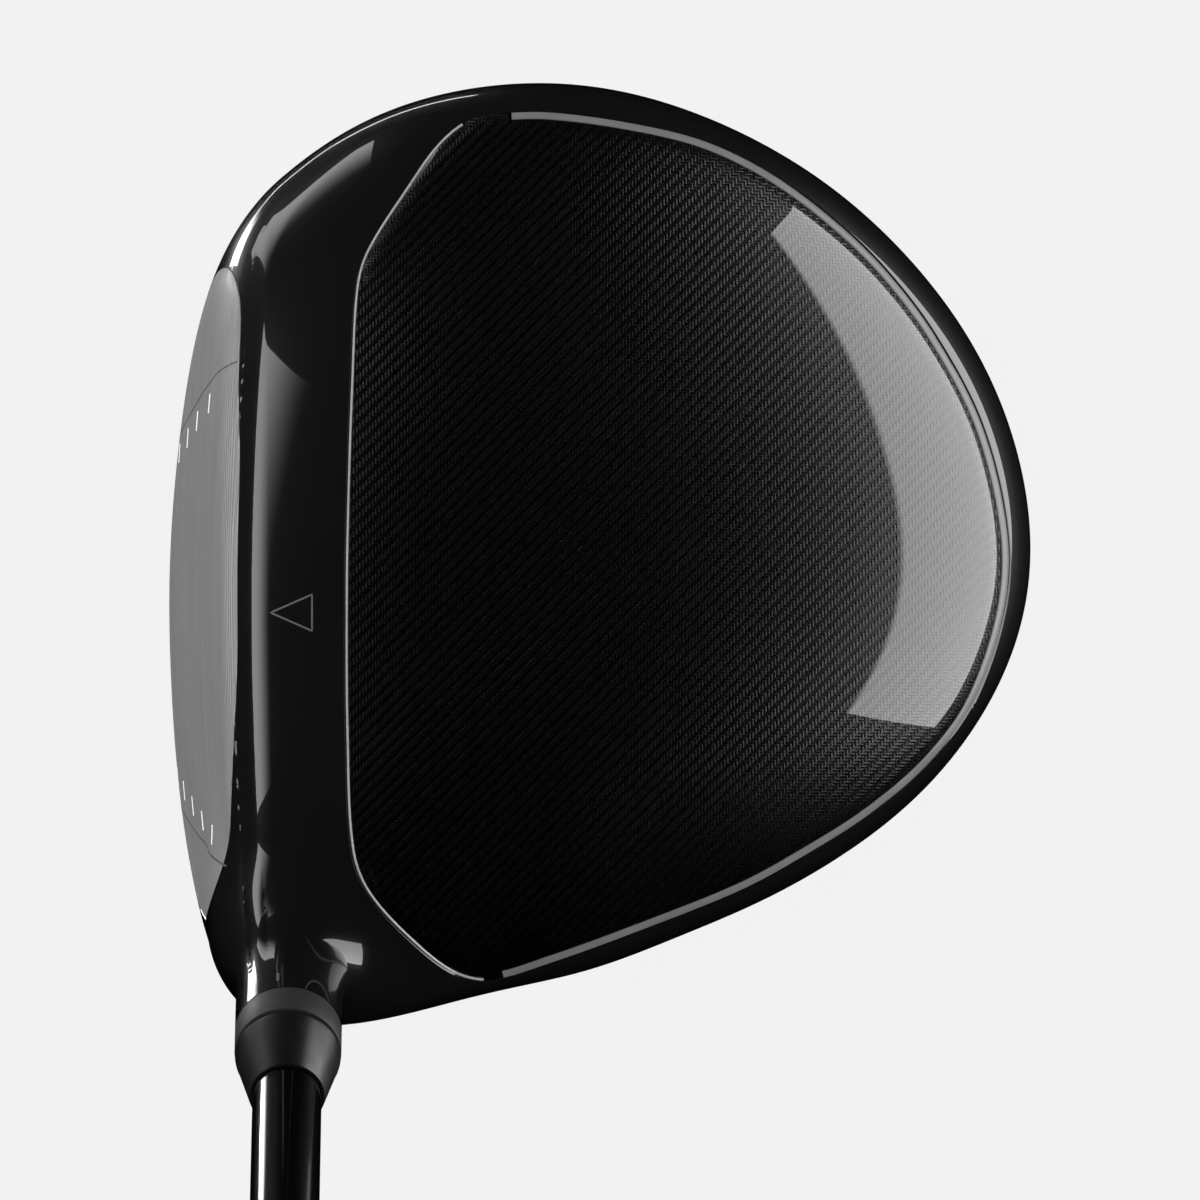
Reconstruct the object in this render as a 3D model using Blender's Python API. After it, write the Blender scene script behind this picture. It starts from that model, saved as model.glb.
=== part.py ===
"""Golf driver: a hollow cast head with bonded carbon panels, an adjustable hosel, a shaft and a grip.

Dimensions are in millimetres, and meshes are made in metres. The part's origin is the centre of the
grip's butt face, +Z is up with the club at address, the face looks along -X and the toe lies at +Y.
The head is designed in its own frame, whose origin is on the flat under the middle of the sole.
"""

import math

import bmesh
import bpy
import numpy as np
from mathutils import Matrix, Vector

MM = 0.001
GAP = 0.3

# ------------------------------------------------------------------------------ club
LIE = math.radians(58.0)
CLUB_LENGTH = 1156.0
AXIS_AT_GROUND = Vector((-29.1, -15.5, 0.0))
AXIS = Vector((0.0, -math.cos(LIE), math.sin(LIE)))
HEAD_ORIGIN = -(AXIS_AT_GROUND + AXIS * CLUB_LENGTH)

# ------------------------------------------------------------------------------ head surface
PLAN_CENTRE = (5.0, 4.0)
# the head seen from above, with its front run on past the face to where the dome would close
PLAN_POINTS = (
    (69.4, 9.6),
    (69.3, 15.3),
    (66.5, 26.4),
    (61.8, 36.8),
    (55.2, 46.1),
    (47.2, 54.3),
    (38.0, 61.1),
    (27.8, 66.5),
    (16.7, 70.1),
    (5.0, 71.7),
    (-6.7, 70.6),
    (-15.5, 68.2),
    (-23.1, 64.4),
    (-28.2, 60.9),
    (-32.6, 57.1),
    (-36.8, 53.0),
    (-41.2, 48.6),
    (-46.6, 41.5),
    (-53.0, 29.0),
    (-59.0, 14.0),
    (-61.5, -2.0),
    (-60.5, -18.0),
    (-56.5, -33.0),
    (-48.5, -44.5),
    (-37.5, -51.5),
    (-28.0, -54.3),
    (-20.0, -53.6),
    (-9.9, -51.6),
    (5.0, -48.1),
    (17.9, -44.1),
    (30.0, -39.2),
    (37.9, -35.2),
    (46.0, -30.4),
    (53.7, -24.1),
    (60.7, -16.3),
    (66.1, -6.8),
    (68.8, 1.5),
)
HARMONICS = 12
BELT_HEIGHT = 29.0
BELT_FALL = 0.075
BELT_BLEND = 8.0
CROWN_TOP = 61.95
CROWN_TOP_X = -14.0
CROWN_RADIUS_X = 205.0
CROWN_RADIUS_Y = 260.0
CROWN_POWER = 2.6
SOLE_POWER = 3.6
SOLE_FULLNESS = 2.2
SOLE_RADIUS_FRONT = 420.0
SOLE_RADIUS_REAR = 260.0
SOLE_RADIUS_Y = 230.0
SOLE_FLAT_DEPTH = 0.6
STEP_HEIGHT = 0.55
STEP_EASE = 0.8
STEP_REACH = 9.0
STEP_WIDTH = 1.6
STEP_X = -35.2
STEP_CURVE = 0.0011
STEP_TOE = 84.8
STEP_CORNER = 4.0
FACE_X = -43.2
FACE_MID_HEIGHT = 30.0
LOFT_SLOPE = math.tan(math.radians(11.3))
BULGE_RADIUS = 310.0
BULGE_AT = 4.0
ROLL_RADIUS = 300.0
TOPLINE_BLEND = 4.5
SOLE_EDGE_BLEND = 9.0

# ------------------------------------------------------------------------------ head pieces
WALL = 2.7
FACE_WALL = 4.3
LEDGE = 5.0
PANEL = 1.2
RECESS = PANEL + GAP
FACE_PLATE = 2.8
FACE_LEDGE = 2.4
TRIM_WIDTH = 0.9
TRIM_PROUD = 0.05
PANEL_HOLE_SCALE = 0.72
CUTTER_START = 4.0
SHEET_CUTTER_START = 3.0
CROWN_EDGE = (
    (-2.5, 67.3),
    (5.4, 67.6),
    (18.2, 65.8),
    (26.8, 63.5),
    (35.3, 59.2),
    (43.8, 52.8),
    (50.3, 46.4),
    (56.7, 37.9),
    (63.0, 25.9),
    (66.4, 11.5),
    (65.9, 1.0),
    (61.8, -11.1),
    (56.0, -19.0),
    (48.1, -25.8),
    (39.6, -31.2),
    (31.0, -35.9),
    (18.3, -41.0),
    (5.4, -45.7),
    (-2.6, -48.0),
    (-7.3, -47.0),
    (-12.6, -42.9),
    (-18.6, -36.2),
    (-20.8, -30.4),
    (-21.5, -16.0),
    (-21.6, 4.5),
    (-21.4, 16.0),
    (-20.9, 32.2),
    (-20.3, 44.0),
    (-18.9, 49.0),
    (-13.5, 57.7),
    (-9.8, 63.0),
    (-6.2, 66.2),
)
CROWN_CENTRE = (15.0, 8.0)
TRIM_START = (0.2, 67.5)
TRIM_END = (-0.6, -47.6)
FACE_EDGE = (
    (0.0, 55.0),
    (18.0, 53.3),
    (32.0, 49.3),
    (42.0, 44.5),
    (46.6, 38.5),
    (46.2, 31.5),
    (41.5, 25.0),
    (36.0, 18.0),
    (30.0, 13.5),
    (18.0, 10.0),
    (0.0, 8.8),
    (-14.0, 9.6),
    (-26.0, 13.0),
    (-34.5, 18.5),
    (-39.5, 26.0),
    (-40.5, 34.0),
    (-37.5, 42.0),
    (-30.0, 47.8),
    (-16.0, 53.0),
)
FACE_CENTRE = (2.0, 32.0)
TOE_PANEL_EDGE = (
    (-12.0, 16.0),
    (-12.5, 34.0),
    (-4.0, 48.0),
    (14.0, 52.5),
    (32.0, 43.0),
    (42.0, 28.0),
    (38.0, 17.5),
    (14.0, 12.5),
)
TOE_PANEL_CENTRE = (12.0, 30.0)
HEEL_PANEL_EDGE = (
    (-10.0, -14.0),
    (-10.5, -27.0),
    (0.0, -33.0),
    (16.0, -31.0),
    (32.0, -22.0),
    (40.0, -12.0),
    (34.0, -7.5),
    (14.0, -9.5),
)
HEEL_PANEL_CENTRE = (12.0, -19.0)

# ------------------------------------------------------------------------------ hosel, along the shaft axis
HOSEL_TOP = 73.0
HOSEL_RADIUS = 7.05
HOSEL_FOOT = 30.0
HOSEL_FLARE_RADIUS = 9.6
HOSEL_FLARE_FROM = 50.0
HOSEL_FLARE_TO = 63.0
BORE_RADIUS = 5.75
BORE_FLOOR = 26.0
SEAT_FROM = 22.0
PORT_RADIUS = 5.2
BOLT_HOLE_RADIUS = 2.8
KEYS = 4
KEY_WIDTH = 2.0
KEY_DEPTH = 1.2
KEY_INNER = 5.9
KEY_OUTER = 6.35
BOLT_HEAD_RADIUS = 4.2
BOLT_HEAD_HEIGHT = 4.0
BOLT_RADIUS = 2.45
BOLT_TIP = 45.0
WASHER_THICKNESS = 0.9
WASHER_RADIUS = 4.8
RETAINER_THICKNESS = 1.0
RETAINER_HOLE = 3.2
RETAINER_EASE = 0.25
TORX_RADIUS = 1.8
TORX_DEPTH = 2.4
RING_LENGTH = 5.0
SLEEVE_RADIUS = 5.45
SLEEVE_BORE = 4.75
SLEEVE_FOOT = 36.0
SLEEVE_COLLAR_RADIUS = 6.1
SLEEVE_COLLAR_HEIGHT = 1.6
SLEEVE_THREAD_DEPTH = 10.5
FERRULE_LENGTH = 9.8
FERRULE_END_RADIUS = 4.95
FERRULE_BORE = 4.72

# ------------------------------------------------------------------------------ shaft and grip
SHAFT_FOOT = 48.0
SHAFT_TIP_RADIUS = 4.45
SHAFT_TIP_END = 84.0
SHAFT_NECK_RADIUS = 4.55
SHAFT_PARALLEL_END = 150.0
SHAFT_BUTT_RADIUS = 7.55
SHAFT_TAPER_END = 1080.0
SHAFT_TOP = 1150.0
SHAFT_WALL = 0.95
GRIP_LENGTH = 270.0
GRIP_MOUTH_RADIUS = 9.2
GRIP_BUTT_RADIUS = 13.1
TAPE_THICKNESS = 0.25
TAPE_GAP = 0.15
TAPE_SET_BACK = 6.0
CAP_HEIGHT = 4.5
CAP_RADIUS = 13.6
SPIGOT_LENGTH = 6.0
VENT_RADIUS = 1.4

# ------------------------------------------------------------------------------ rear weight
WEIGHT_AT = (52.5, 4.0)
WEIGHT_RADIUS = 8.4
WEIGHT_THICKNESS = 6.6
WEIGHT_SINK = 0.5
WEIGHT_SCREW_HEAD = 3.9
WEIGHT_SCREW_HEAD_HEIGHT = 3.0
WEIGHT_SCREW_LENGTH = 15.0
BOSS_RADIUS = 10.4
BOSS_DEPTH = 12.5
BOSS_STEM_RADIUS = 5.2
STEM_DEPTH = 19.0
TAPPED_DEPTH = 17.5

BLACK_GLOSS = (0.012, 0.011, 0.012)
CARBON = (0.006, 0.006, 0.006)
FACE_GREY = (0.33, 0.33, 0.34)
TRIM_GREY = (0.2, 0.2, 0.2)
SILVER = (0.75, 0.75, 0.76)
STEEL = (0.5, 0.5, 0.5)
DARK_ALLOY = (0.05, 0.05, 0.052)
RUBBER = (0.015, 0.015, 0.016)


# ------------------------------------------------------------------------------ small tools
def clear_scene():
    for item in list(bpy.data.objects):
        bpy.data.objects.remove(item, do_unlink=True)


def make_material(name, colour, roughness, metallic):
    material = bpy.data.materials.new(name)
    material.use_nodes = True
    shader = material.node_tree.nodes["Principled BSDF"]
    shader.inputs["Base Color"].default_value = (*colour, 1.0)
    shader.inputs["Roughness"].default_value = roughness
    shader.inputs["Metallic"].default_value = metallic
    return material


def make_empty(name, matrix, parent=None):
    empty = bpy.data.objects.new(name, None)
    bpy.context.scene.collection.objects.link(empty)
    empty.parent = parent
    empty.matrix_local = matrix
    return empty


def make_object(name, points, faces, parent=None, material=None):
    """A mesh object from points in millimetres, with its faces turned to point out."""
    mesh = bpy.data.meshes.new(name)
    mesh.from_pydata([tuple(point) for point in np.asarray(points) * MM], [], faces)
    work = bmesh.new()
    work.from_mesh(mesh)
    bmesh.ops.recalc_face_normals(work, faces=work.faces)
    work.to_mesh(mesh)
    work.free()
    mesh.shade_smooth()
    mesh.set_sharp_from_angle(angle=math.radians(35.0))
    item = bpy.data.objects.new(name, mesh)
    bpy.context.scene.collection.objects.link(item)
    item.parent = parent
    if material is not None:
        mesh.materials.append(material)
    return item


def combine(item, others, operation, solver="EXACT"):
    """Cuts the others from the item, or joins them to it, and removes them."""
    for other in others:
        modifier = item.modifiers.new(other.name, "BOOLEAN")
        modifier.operation = operation
        modifier.solver = solver
        modifier.object = other
    bpy.context.view_layer.update()
    graph = bpy.context.evaluated_depsgraph_get()
    made = bpy.data.meshes.new_from_object(item.evaluated_get(graph))
    item.modifiers.clear()
    item.data = made
    made.shade_smooth()
    made.set_sharp_from_angle(angle=math.radians(35.0))
    for other in others:
        bpy.data.objects.remove(other, do_unlink=True)


def turned(name, profile, parent, material=None, steps=32):
    """A solid turned about the parent's Z axis from a closed profile of (radius, height) points."""
    rings = []
    points = []
    for radius, height in profile:
        if radius == 0.0:
            rings.append(None)
            continue
        rings.append(list(range(len(points), len(points) + steps)))
        for step in range(steps):
            angle = math.tau * step / steps
            points.append((radius * math.cos(angle), radius * math.sin(angle), height))
    faces = []
    for ring, following in zip(rings, rings[1:] + rings[:1]):
        if ring is None and following is None:
            continue
        if ring is None or following is None:
            faces.append(ring or following)
            continue
        for step in range(steps):
            after = (step + 1) % steps
            faces.append([ring[step], ring[after], following[after], following[step]])
    return make_object(name, points, faces, parent, material)


def prism(name, outline, low, high, parent):
    """A solid with this (x, y) outline, from one height to another along the parent's Z axis."""
    count = len(outline)
    points = [(x, y, low) for x, y in outline] + [(x, y, high) for x, y in outline]
    faces = [list(range(count)), list(range(count, 2 * count))]
    for i in range(count):
        after = (i + 1) % count
        faces.append([i, after, count + after, count + i])
    return make_object(name, points, faces, parent)


def star_outline(radius, lobes=6, depth=0.2, steps=36):
    """The outline of a six-lobed drive socket."""
    angles = [math.tau * i / steps for i in range(steps)]
    reach = [radius * (1.0 - depth * (0.5 - 0.5 * math.cos(lobes * angle))) for angle in angles]
    return [(r * math.cos(angle), r * math.sin(angle)) for r, angle in zip(reach, angles)]


# ------------------------------------------------------------------------------ curves and fields
def closed_spline(points, count):
    """A smooth closed curve through the points, as this many evenly spaced points."""
    corners = np.asarray(points, float)
    steps = 24
    t = (np.arange(steps) / steps)[:, None]
    runs = []
    for i in range(len(corners)):
        before, start, end, beyond = (corners[(i + k) % len(corners)] for k in (-1, 0, 1, 2))
        length = math.dist(start, end)
        leave = (end - before) * length / (math.dist(start, before) + length)
        arrive = (beyond - start) * length / (math.dist(end, beyond) + length)
        runs.append(
            start * (2 * t**3 - 3 * t**2 + 1)
            + leave * (t**3 - 2 * t**2 + t)
            + end * (3 * t**2 - 2 * t**3)
            + arrive * (t**3 - t**2)
        )
    curve = np.vstack(runs + [runs[0][:1]])
    travelled = np.concatenate([[0.0], np.cumsum(np.linalg.norm(np.diff(curve, axis=0), axis=1))])
    places = np.linspace(0.0, travelled[-1], count, endpoint=False)
    return np.column_stack([np.interp(places, travelled, curve[:, k]) for k in (0, 1)])


def inset(outline, distance):
    """The outline moved inwards by a distance."""
    along = np.roll(outline, -1, axis=0) - np.roll(outline, 1, axis=0)
    inward = np.column_stack([along[:, 1], -along[:, 0]])
    inward /= np.linalg.norm(inward, axis=1)[:, None]
    turning = np.sum(outline[:, 0] * along[:, 1] - outline[:, 1] * along[:, 0])
    return outline - math.copysign(distance, turning) * inward


def series_terms(angle):
    turns = np.arange(1, HARMONICS + 1)
    spread = np.multiply.outer(np.asarray(angle, float), turns)
    ones = np.ones(spread.shape[:-1] + (1,))
    return np.concatenate([ones, np.cos(spread), np.sin(spread)], axis=-1)


def fit_plan():
    """Fourier terms of the plan outline's radius about its centre."""
    offset = np.asarray(PLAN_POINTS) - PLAN_CENTRE
    angle = np.arctan2(offset[:, 1], offset[:, 0])
    return np.linalg.lstsq(series_terms(angle), np.hypot(*offset.T), rcond=None)[0]


PLAN_SERIES = fit_plan()


def plan_ratio(x, y):
    """0 at the plan's centre and 1 on its outline."""
    dx = x - PLAN_CENTRE[0]
    dy = y - PLAN_CENTRE[1]
    return np.hypot(dx, dy) / (series_terms(np.arctan2(dy, dx)) @ PLAN_SERIES)


def smooth_max(a, b, reach):
    blend = np.clip(1.0 - np.abs(a - b) / reach, 0.0, None)
    return np.maximum(a, b) + 0.25 * reach * blend**2


def smooth_step(value):
    part = np.clip(value, 0.0, 1.0)
    return part * part * (3.0 - 2.0 * part)


def belt_height(x):
    return BELT_HEIGHT - BELT_FALL * (x - CROWN_TOP_X)


def crown_step(x, y):
    """The small step up behind the face, which turns back along the toe."""
    behind_face = x - STEP_X - STEP_CURVE * y**2
    behind_toe = (x - y + STEP_TOE) / math.sqrt(2.0)
    distance = -smooth_max(-behind_face, -behind_toe, STEP_CORNER)
    eased_off = 1.0 - (1.0 - np.clip((distance + STEP_WIDTH / 2) / STEP_REACH, 0.0, 1.0)) ** 3
    return STEP_HEIGHT * smooth_step(distance / STEP_WIDTH + 0.5) + STEP_EASE * eased_off


def crown_rise(x, y):
    """Height of the crown's middle above the belt, before the dome falls to the rim."""
    arch = (x - CROWN_TOP_X) ** 2 / (2 * CROWN_RADIUS_X) + y**2 / (2 * CROWN_RADIUS_Y)
    return CROWN_TOP - arch + crown_step(x, y) - belt_height(x)


def sole_drop(x, y):
    """Depth of the sole's middle below the belt."""
    radius = np.where(x < 0.0, SOLE_RADIUS_FRONT, SOLE_RADIUS_REAR)
    lift = x**2 / (2 * radius) + y**2 / (2 * SOLE_RADIUS_Y)
    return belt_height(x) - lift + SOLE_FLAT_DEPTH


def dome(ratio, power, fullness=2.0):
    return np.clip(1.0 - ratio**power, 0.0, None) ** (1.0 / fullness)


def crown_z(x, y):
    return belt_height(x) + crown_rise(x, y) * dome(plan_ratio(x, y), CROWN_POWER)


def sole_z(x, y):
    low = belt_height(x) - sole_drop(x, y) * dome(plan_ratio(x, y), SOLE_POWER, SOLE_FULLNESS)
    return np.maximum(low, 0.0)


def face_x(y, z):
    """The face: lofted, with bulge from heel to toe and roll from sole to crown."""
    height = z - FACE_MID_HEIGHT
    bulge = (y - BULGE_AT) ** 2 / (2 * BULGE_RADIUS)
    return FACE_X + LOFT_SLOPE * height + height**2 / (2 * ROLL_RADIUS) + bulge


def dome_field(x, y, z):
    """Negative inside the domed body, growing roughly with distance near its surface."""
    up = z - belt_height(x)
    ratio = np.maximum(plan_ratio(x, y), 1e-6)
    power = SOLE_POWER + (CROWN_POWER - SOLE_POWER) * smooth_step(up / BELT_BLEND + 0.5)
    above = (up / crown_rise(x, y)) ** 2
    below = np.abs(up / sole_drop(x, y)) ** SOLE_FULLNESS
    return ratio**power + np.where(up > 0.0, above, below) - 1.0


def distance_field(x, y, z):
    """dome_field divided by its slope, so that it reads in millimetres near the surface."""
    d = 0.05
    value = dome_field(x, y, z)
    slope_x = dome_field(x + d, y, z) - dome_field(x - d, y, z)
    slope_y = dome_field(x, y + d, z) - dome_field(x, y - d, z)
    slope_z = dome_field(x, y, z + d) - dome_field(x, y, z - d)
    slope = np.sqrt(slope_x**2 + slope_y**2 + slope_z**2) / (2 * d)
    return value / np.maximum(slope, 1e-4)


def head_field(x, y, z, wall=0.0, face_wall=0.0):
    """The whole head less its hosel, or the space that lies this far inside it."""
    body = distance_field(x, y, z) + wall
    face = (face_x(y, z) - x) + face_wall
    reach = TOPLINE_BLEND + (SOLE_EDGE_BLEND - TOPLINE_BLEND) * smooth_step((50.0 - z) / 30.0)
    return smooth_max(body, face, reach)


# ------------------------------------------------------------------------------ head solids
def head_solid(name, around, crown_rings, sole_rings, wall=0.0, face_wall=0.0):
    """A closed solid whose points lie where rays from the head's middle meet its surface."""
    angle = math.tau * np.arange(around) / around
    middle = np.array([*PLAN_CENTRE, BELT_HEIGHT - 3.0])
    radius = series_terms(angle) @ PLAN_SERIES
    rings = []
    crown = [1.0 - (1.0 - i / crown_rings) ** 1.7 for i in range(1, crown_rings + 1)]
    sole = [1.0 - (1.0 - i / sole_rings) ** 1.7 for i in range(1, sole_rings)]
    for ratio in crown:
        x = PLAN_CENTRE[0] + ratio * radius * np.cos(angle)
        y = PLAN_CENTRE[1] + ratio * radius * np.sin(angle)
        rings.append(np.column_stack([x, y, crown_z(x, y)]))
    for ratio in reversed(sole):
        x = PLAN_CENTRE[0] + ratio * radius * np.cos(angle)
        y = PLAN_CENTRE[1] + ratio * radius * np.sin(angle)
        rings.append(np.column_stack([x, y, sole_z(x, y)]))
    top = np.array([[*PLAN_CENTRE, crown_z(*PLAN_CENTRE)]])
    bottom = np.array([[*PLAN_CENTRE, 0.0]])
    aims = np.vstack([top] + rings + [bottom]) - middle
    near = np.zeros(len(aims))
    far = np.full(len(aims), 1.3)
    for _ in range(40):
        half = (near + far) / 2
        outside = head_field(*(middle + aims * half[:, None]).T, wall, face_wall) > 0.0
        far = np.where(outside, half, far)
        near = np.where(outside, near, half)
    points = middle + aims * far[:, None]
    points[:, 2] = np.maximum(points[:, 2], wall)
    faces = []
    last = len(points) - 1
    for step in range(around):
        after = (step + 1) % around
        faces.append([0, 1 + step, 1 + after])
        for ring in range(len(rings) - 1):
            low = 1 + ring * around
            faces.append([low + step, low + around + step, low + around + after, low + after])
        low = 1 + (len(rings) - 1) * around
        faces.append([low + step, last, low + after])
    return make_object(name, points, faces)


def on_crown(plan):
    return np.column_stack([plan, crown_z(*plan.T)])


def on_sole(plan):
    return np.column_stack([plan, sole_z(*plan.T)])


def on_face(plan):
    """The head's own surface seen from the front, found by halving along X."""
    y, z = plan.T
    outside = face_x(y, z) - 1.0
    inside = outside + 16.0
    for _ in range(30):
        middle = (outside + inside) / 2
        out = head_field(middle, y, z) > 0.0
        outside = np.where(out, middle, outside)
        inside = np.where(out, inside, middle)
    return np.column_stack([inside, plan])


def outward(place, plan):
    """Unit normals of a surface given as a function of two plan coordinates."""
    d = 0.05
    first = place(plan + (d, 0.0)) - place(plan - (d, 0.0))
    second = place(plan + (0.0, d)) - place(plan - (0.0, d))
    normal = np.cross(first, second)
    if place is on_crown:
        sign = 1.0
    else:
        sign = -1.0
    return sign * normal / np.linalg.norm(normal, axis=1)[:, None]


def sheet(name, place, outline, centre, low, high, material=None, rings=(0.45, 0.75, 0.92, 1.0)):
    """A solid sheet over a plan outline, between two offsets from one of the head's surfaces."""
    count = len(outline)
    plans = [np.array([centre])] + [centre + (outline - centre) * ring for ring in rings]
    plan = np.vstack(plans)
    surface = place(plan)
    normal = outward(place, plan)
    points = np.vstack([surface + normal * high, surface + normal * low])
    return make_object(name, points, fan_faces(len(plan), count, len(rings)), None, material)


def upright_cutter(name, place, outline, centre, reach):
    """A cutter over a plan outline that runs this far above and below one of the head's surfaces."""
    plan = np.vstack([np.array([centre]), outline])
    surface = place(plan)
    points = np.vstack([surface + (0.0, 0.0, reach), surface - (0.0, 0.0, reach)])
    return make_object(name, points, fan_faces(len(plan), len(outline), 1))


def face_block(name, outline, depth, front=None, material=None, rings=(0.5, 0.8, 1.0)):
    """A solid behind the face outline: its back is this deep, and its front is the head's surface.

    With a front it is a cutter that starts that far ahead of the face.
    """
    count = len(outline)
    plan = np.vstack([np.array([FACE_CENTRE])] + [FACE_CENTRE + (outline - FACE_CENTRE) * r for r in rings])
    back = np.column_stack([face_x(*plan.T) + depth, plan])
    ahead = on_face(plan) if front is None else np.column_stack([face_x(*plan.T) - front, plan])
    faces = fan_faces(len(plan), count, len(rings))
    return make_object(name, np.vstack([ahead, back]), faces, None, material)


def fan_faces(half, count, rings):
    """Faces of a solid whose two sides are a middle point and rings about it, and of its border."""
    faces = []
    for side in (0, half):
        for step in range(count):
            after = (step + 1) % count
            faces.append([side, side + 1 + step, side + 1 + after])
            for ring in range(rings - 1):
                first = side + 1 + ring * count
                faces.append([first + step, first + count + step, first + count + after, first + after])
    border = 1 + (rings - 1) * count
    for step in range(count):
        after = (step + 1) % count
        faces.append([border + step, border + after, half + border + after, half + border + step])
    return faces


def stretch(outline, first, last):
    """The points from one place on a closed outline round to another."""
    if last > first:
        return outline[first : last + 1]
    return np.vstack([outline[first:], outline[: last + 1]])


def strip(name, outline, first, last, material):
    """A bead along part of the crown's edge, just inside the edge of its recess."""
    corners = []
    for reach in (GAP, GAP + TRIM_WIDTH):
        plan = stretch(inset(outline, reach), first, last)
        surface = on_crown(plan)
        normal = outward(on_crown, plan)
        corners.append(surface + normal * TRIM_PROUD)
        corners.append(surface - normal * PANEL)
    count = len(corners[0])
    outer_top, outer_low, inner_top, inner_low = range(4)
    order = (outer_top, inner_top, inner_low, outer_low)
    faces = []
    for a, b in zip(order, order[1:] + order[:1]):
        for i in range(count - 1):
            faces.append([a * count + i, a * count + i + 1, b * count + i + 1, b * count + i])
    faces.append([k * count for k in order])
    faces.append([k * count + count - 1 for k in order])
    return make_object(name, np.vstack(corners), faces, None, material)


def nearest(outline, place):
    return int(np.argmin(np.hypot(outline[:, 0] - place[0], outline[:, 1] - place[1])))


# ------------------------------------------------------------------------------ the pieces
def build_head(paint):
    """The casting: shell, hosel, bolt seat and weight boss, with its panel and face openings."""
    cavity = head_solid("cavity", 44, 8, 7, WALL, FACE_WALL)
    cavity_tube = turned("cavity_tube", tube_profile(0.0, HOSEL_RADIUS, -20.0, 95.0), HOSEL, steps=28)
    boss = turned("boss", tube_profile(0.0, BOSS_RADIUS, -BOSS_DEPTH, WALL), WEIGHT, steps=28)
    stem = turned("stem", tube_profile(0.0, BOSS_STEM_RADIUS, -STEM_DEPTH, 0.0), WEIGHT, steps=24)
    cavity.parent = HEAD
    combine(cavity, [cavity_tube, boss, stem], "DIFFERENCE")

    body = head_solid("head_body", 64, 12, 9)
    body.parent = HEAD
    flare = (
        (0.0, HOSEL_FOOT),
        (HOSEL_FLARE_RADIUS, HOSEL_FOOT),
        (HOSEL_FLARE_RADIUS, HOSEL_FLARE_FROM),
        (HOSEL_RADIUS + 0.5, HOSEL_FLARE_TO - 4.0),
        (HOSEL_RADIUS, HOSEL_FLARE_TO),
        (HOSEL_RADIUS, HOSEL_TOP),
        (0.0, HOSEL_TOP),
    )
    combine(body, [turned("neck", flare, HOSEL, steps=32)], "UNION")
    combine(body, [cavity], "DIFFERENCE")

    cutters = [
        turned("bore", tube_profile(0.0, BORE_RADIUS, BORE_FLOOR, HOSEL_TOP + 5.0), HOSEL, steps=28),
        turned("bolt_hole", tube_profile(0.0, BOLT_HOLE_RADIUS, 10.0, BORE_FLOOR + 4.0), HOSEL, steps=20),
        turned("port", tube_profile(0.0, PORT_RADIUS, -10.0, SEAT_FROM), HOSEL, steps=28),
        turned("pocket", tube_profile(0.0, WEIGHT_RADIUS + GAP, -weight_depth(), 10.0), WEIGHT, steps=28),
        turned("tapped_hole", tube_profile(0.0, BOLT_HOLE_RADIUS, -TAPPED_DEPTH, 0.0), WEIGHT, steps=20),
    ]
    cutters.extend(key_blocks("keyway", GAP * 0.8, HOSEL_TOP - KEY_DEPTH - GAP, HOSEL_TOP + 1.0))
    combine(body, cutters, "DIFFERENCE")

    crown = closed_spline(CROWN_EDGE, 72)
    face = closed_spline(FACE_EDGE, 48)
    openings = [
        upright_cutter("crown_hole", on_crown, inset(crown, LEDGE), CROWN_CENTRE, 12.0),
        sheet("crown_recess", on_crown, crown, CROWN_CENTRE, -RECESS, SHEET_CUTTER_START),
        face_block("face_hole", inset(face, FACE_LEDGE), FACE_WALL + 1.3, CUTTER_START),
        face_block("face_recess", face, FACE_PLATE + GAP, CUTTER_START),
    ]
    for edge, centre, side in (
        (TOE_PANEL_EDGE, TOE_PANEL_CENTRE, "toe"),
        (HEEL_PANEL_EDGE, HEEL_PANEL_CENTRE, "heel"),
    ):
        outline = closed_spline(edge, 40)
        hole = centre + (outline - centre) * PANEL_HOLE_SCALE
        openings.append(upright_cutter(side + "_hole", on_sole, hole, centre, 6.0))
        openings.append(
            sheet(side + "_recess", on_sole, outline, centre, -RECESS, SHEET_CUTTER_START)
        )
    for opening in openings:
        opening.parent = HEAD
    # the exact solver loses the whole casting on the face opening, so these use the manifold one
    combine(body, openings, "DIFFERENCE", "MANIFOLD")
    body.data.materials.clear()
    body.data.materials.append(paint)
    return body


def weight_depth():
    return WEIGHT_SINK + WEIGHT_THICKNESS + GAP


def tube_profile(inner, outer, low, high):
    """A plain tube's profile, or a plain rod's when the inner radius is nought."""
    return ((inner, low), (outer, low), (outer, high), (inner, high))


def key_blocks(name, ease, low, high):
    """Blocks that key the adapter ring to the hosel, evenly spaced about the axis."""
    blocks = []
    for turn in range(KEYS):
        angle = math.tau * turn / KEYS
        along = Vector((math.cos(angle), math.sin(angle)))
        across = Vector((-along.y, along.x))
        half = KEY_WIDTH / 2 + ease
        corners = ((KEY_INNER - 4 * ease, -half), (KEY_OUTER + ease, -half))
        corners += ((KEY_OUTER + ease, half), (KEY_INNER - 4 * ease, half))
        outline = [tuple(along * reach + across * side) for reach, side in corners]
        blocks.append(prism(f"{name}_{turn}", outline, low, high, HOSEL))
    return blocks


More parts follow.
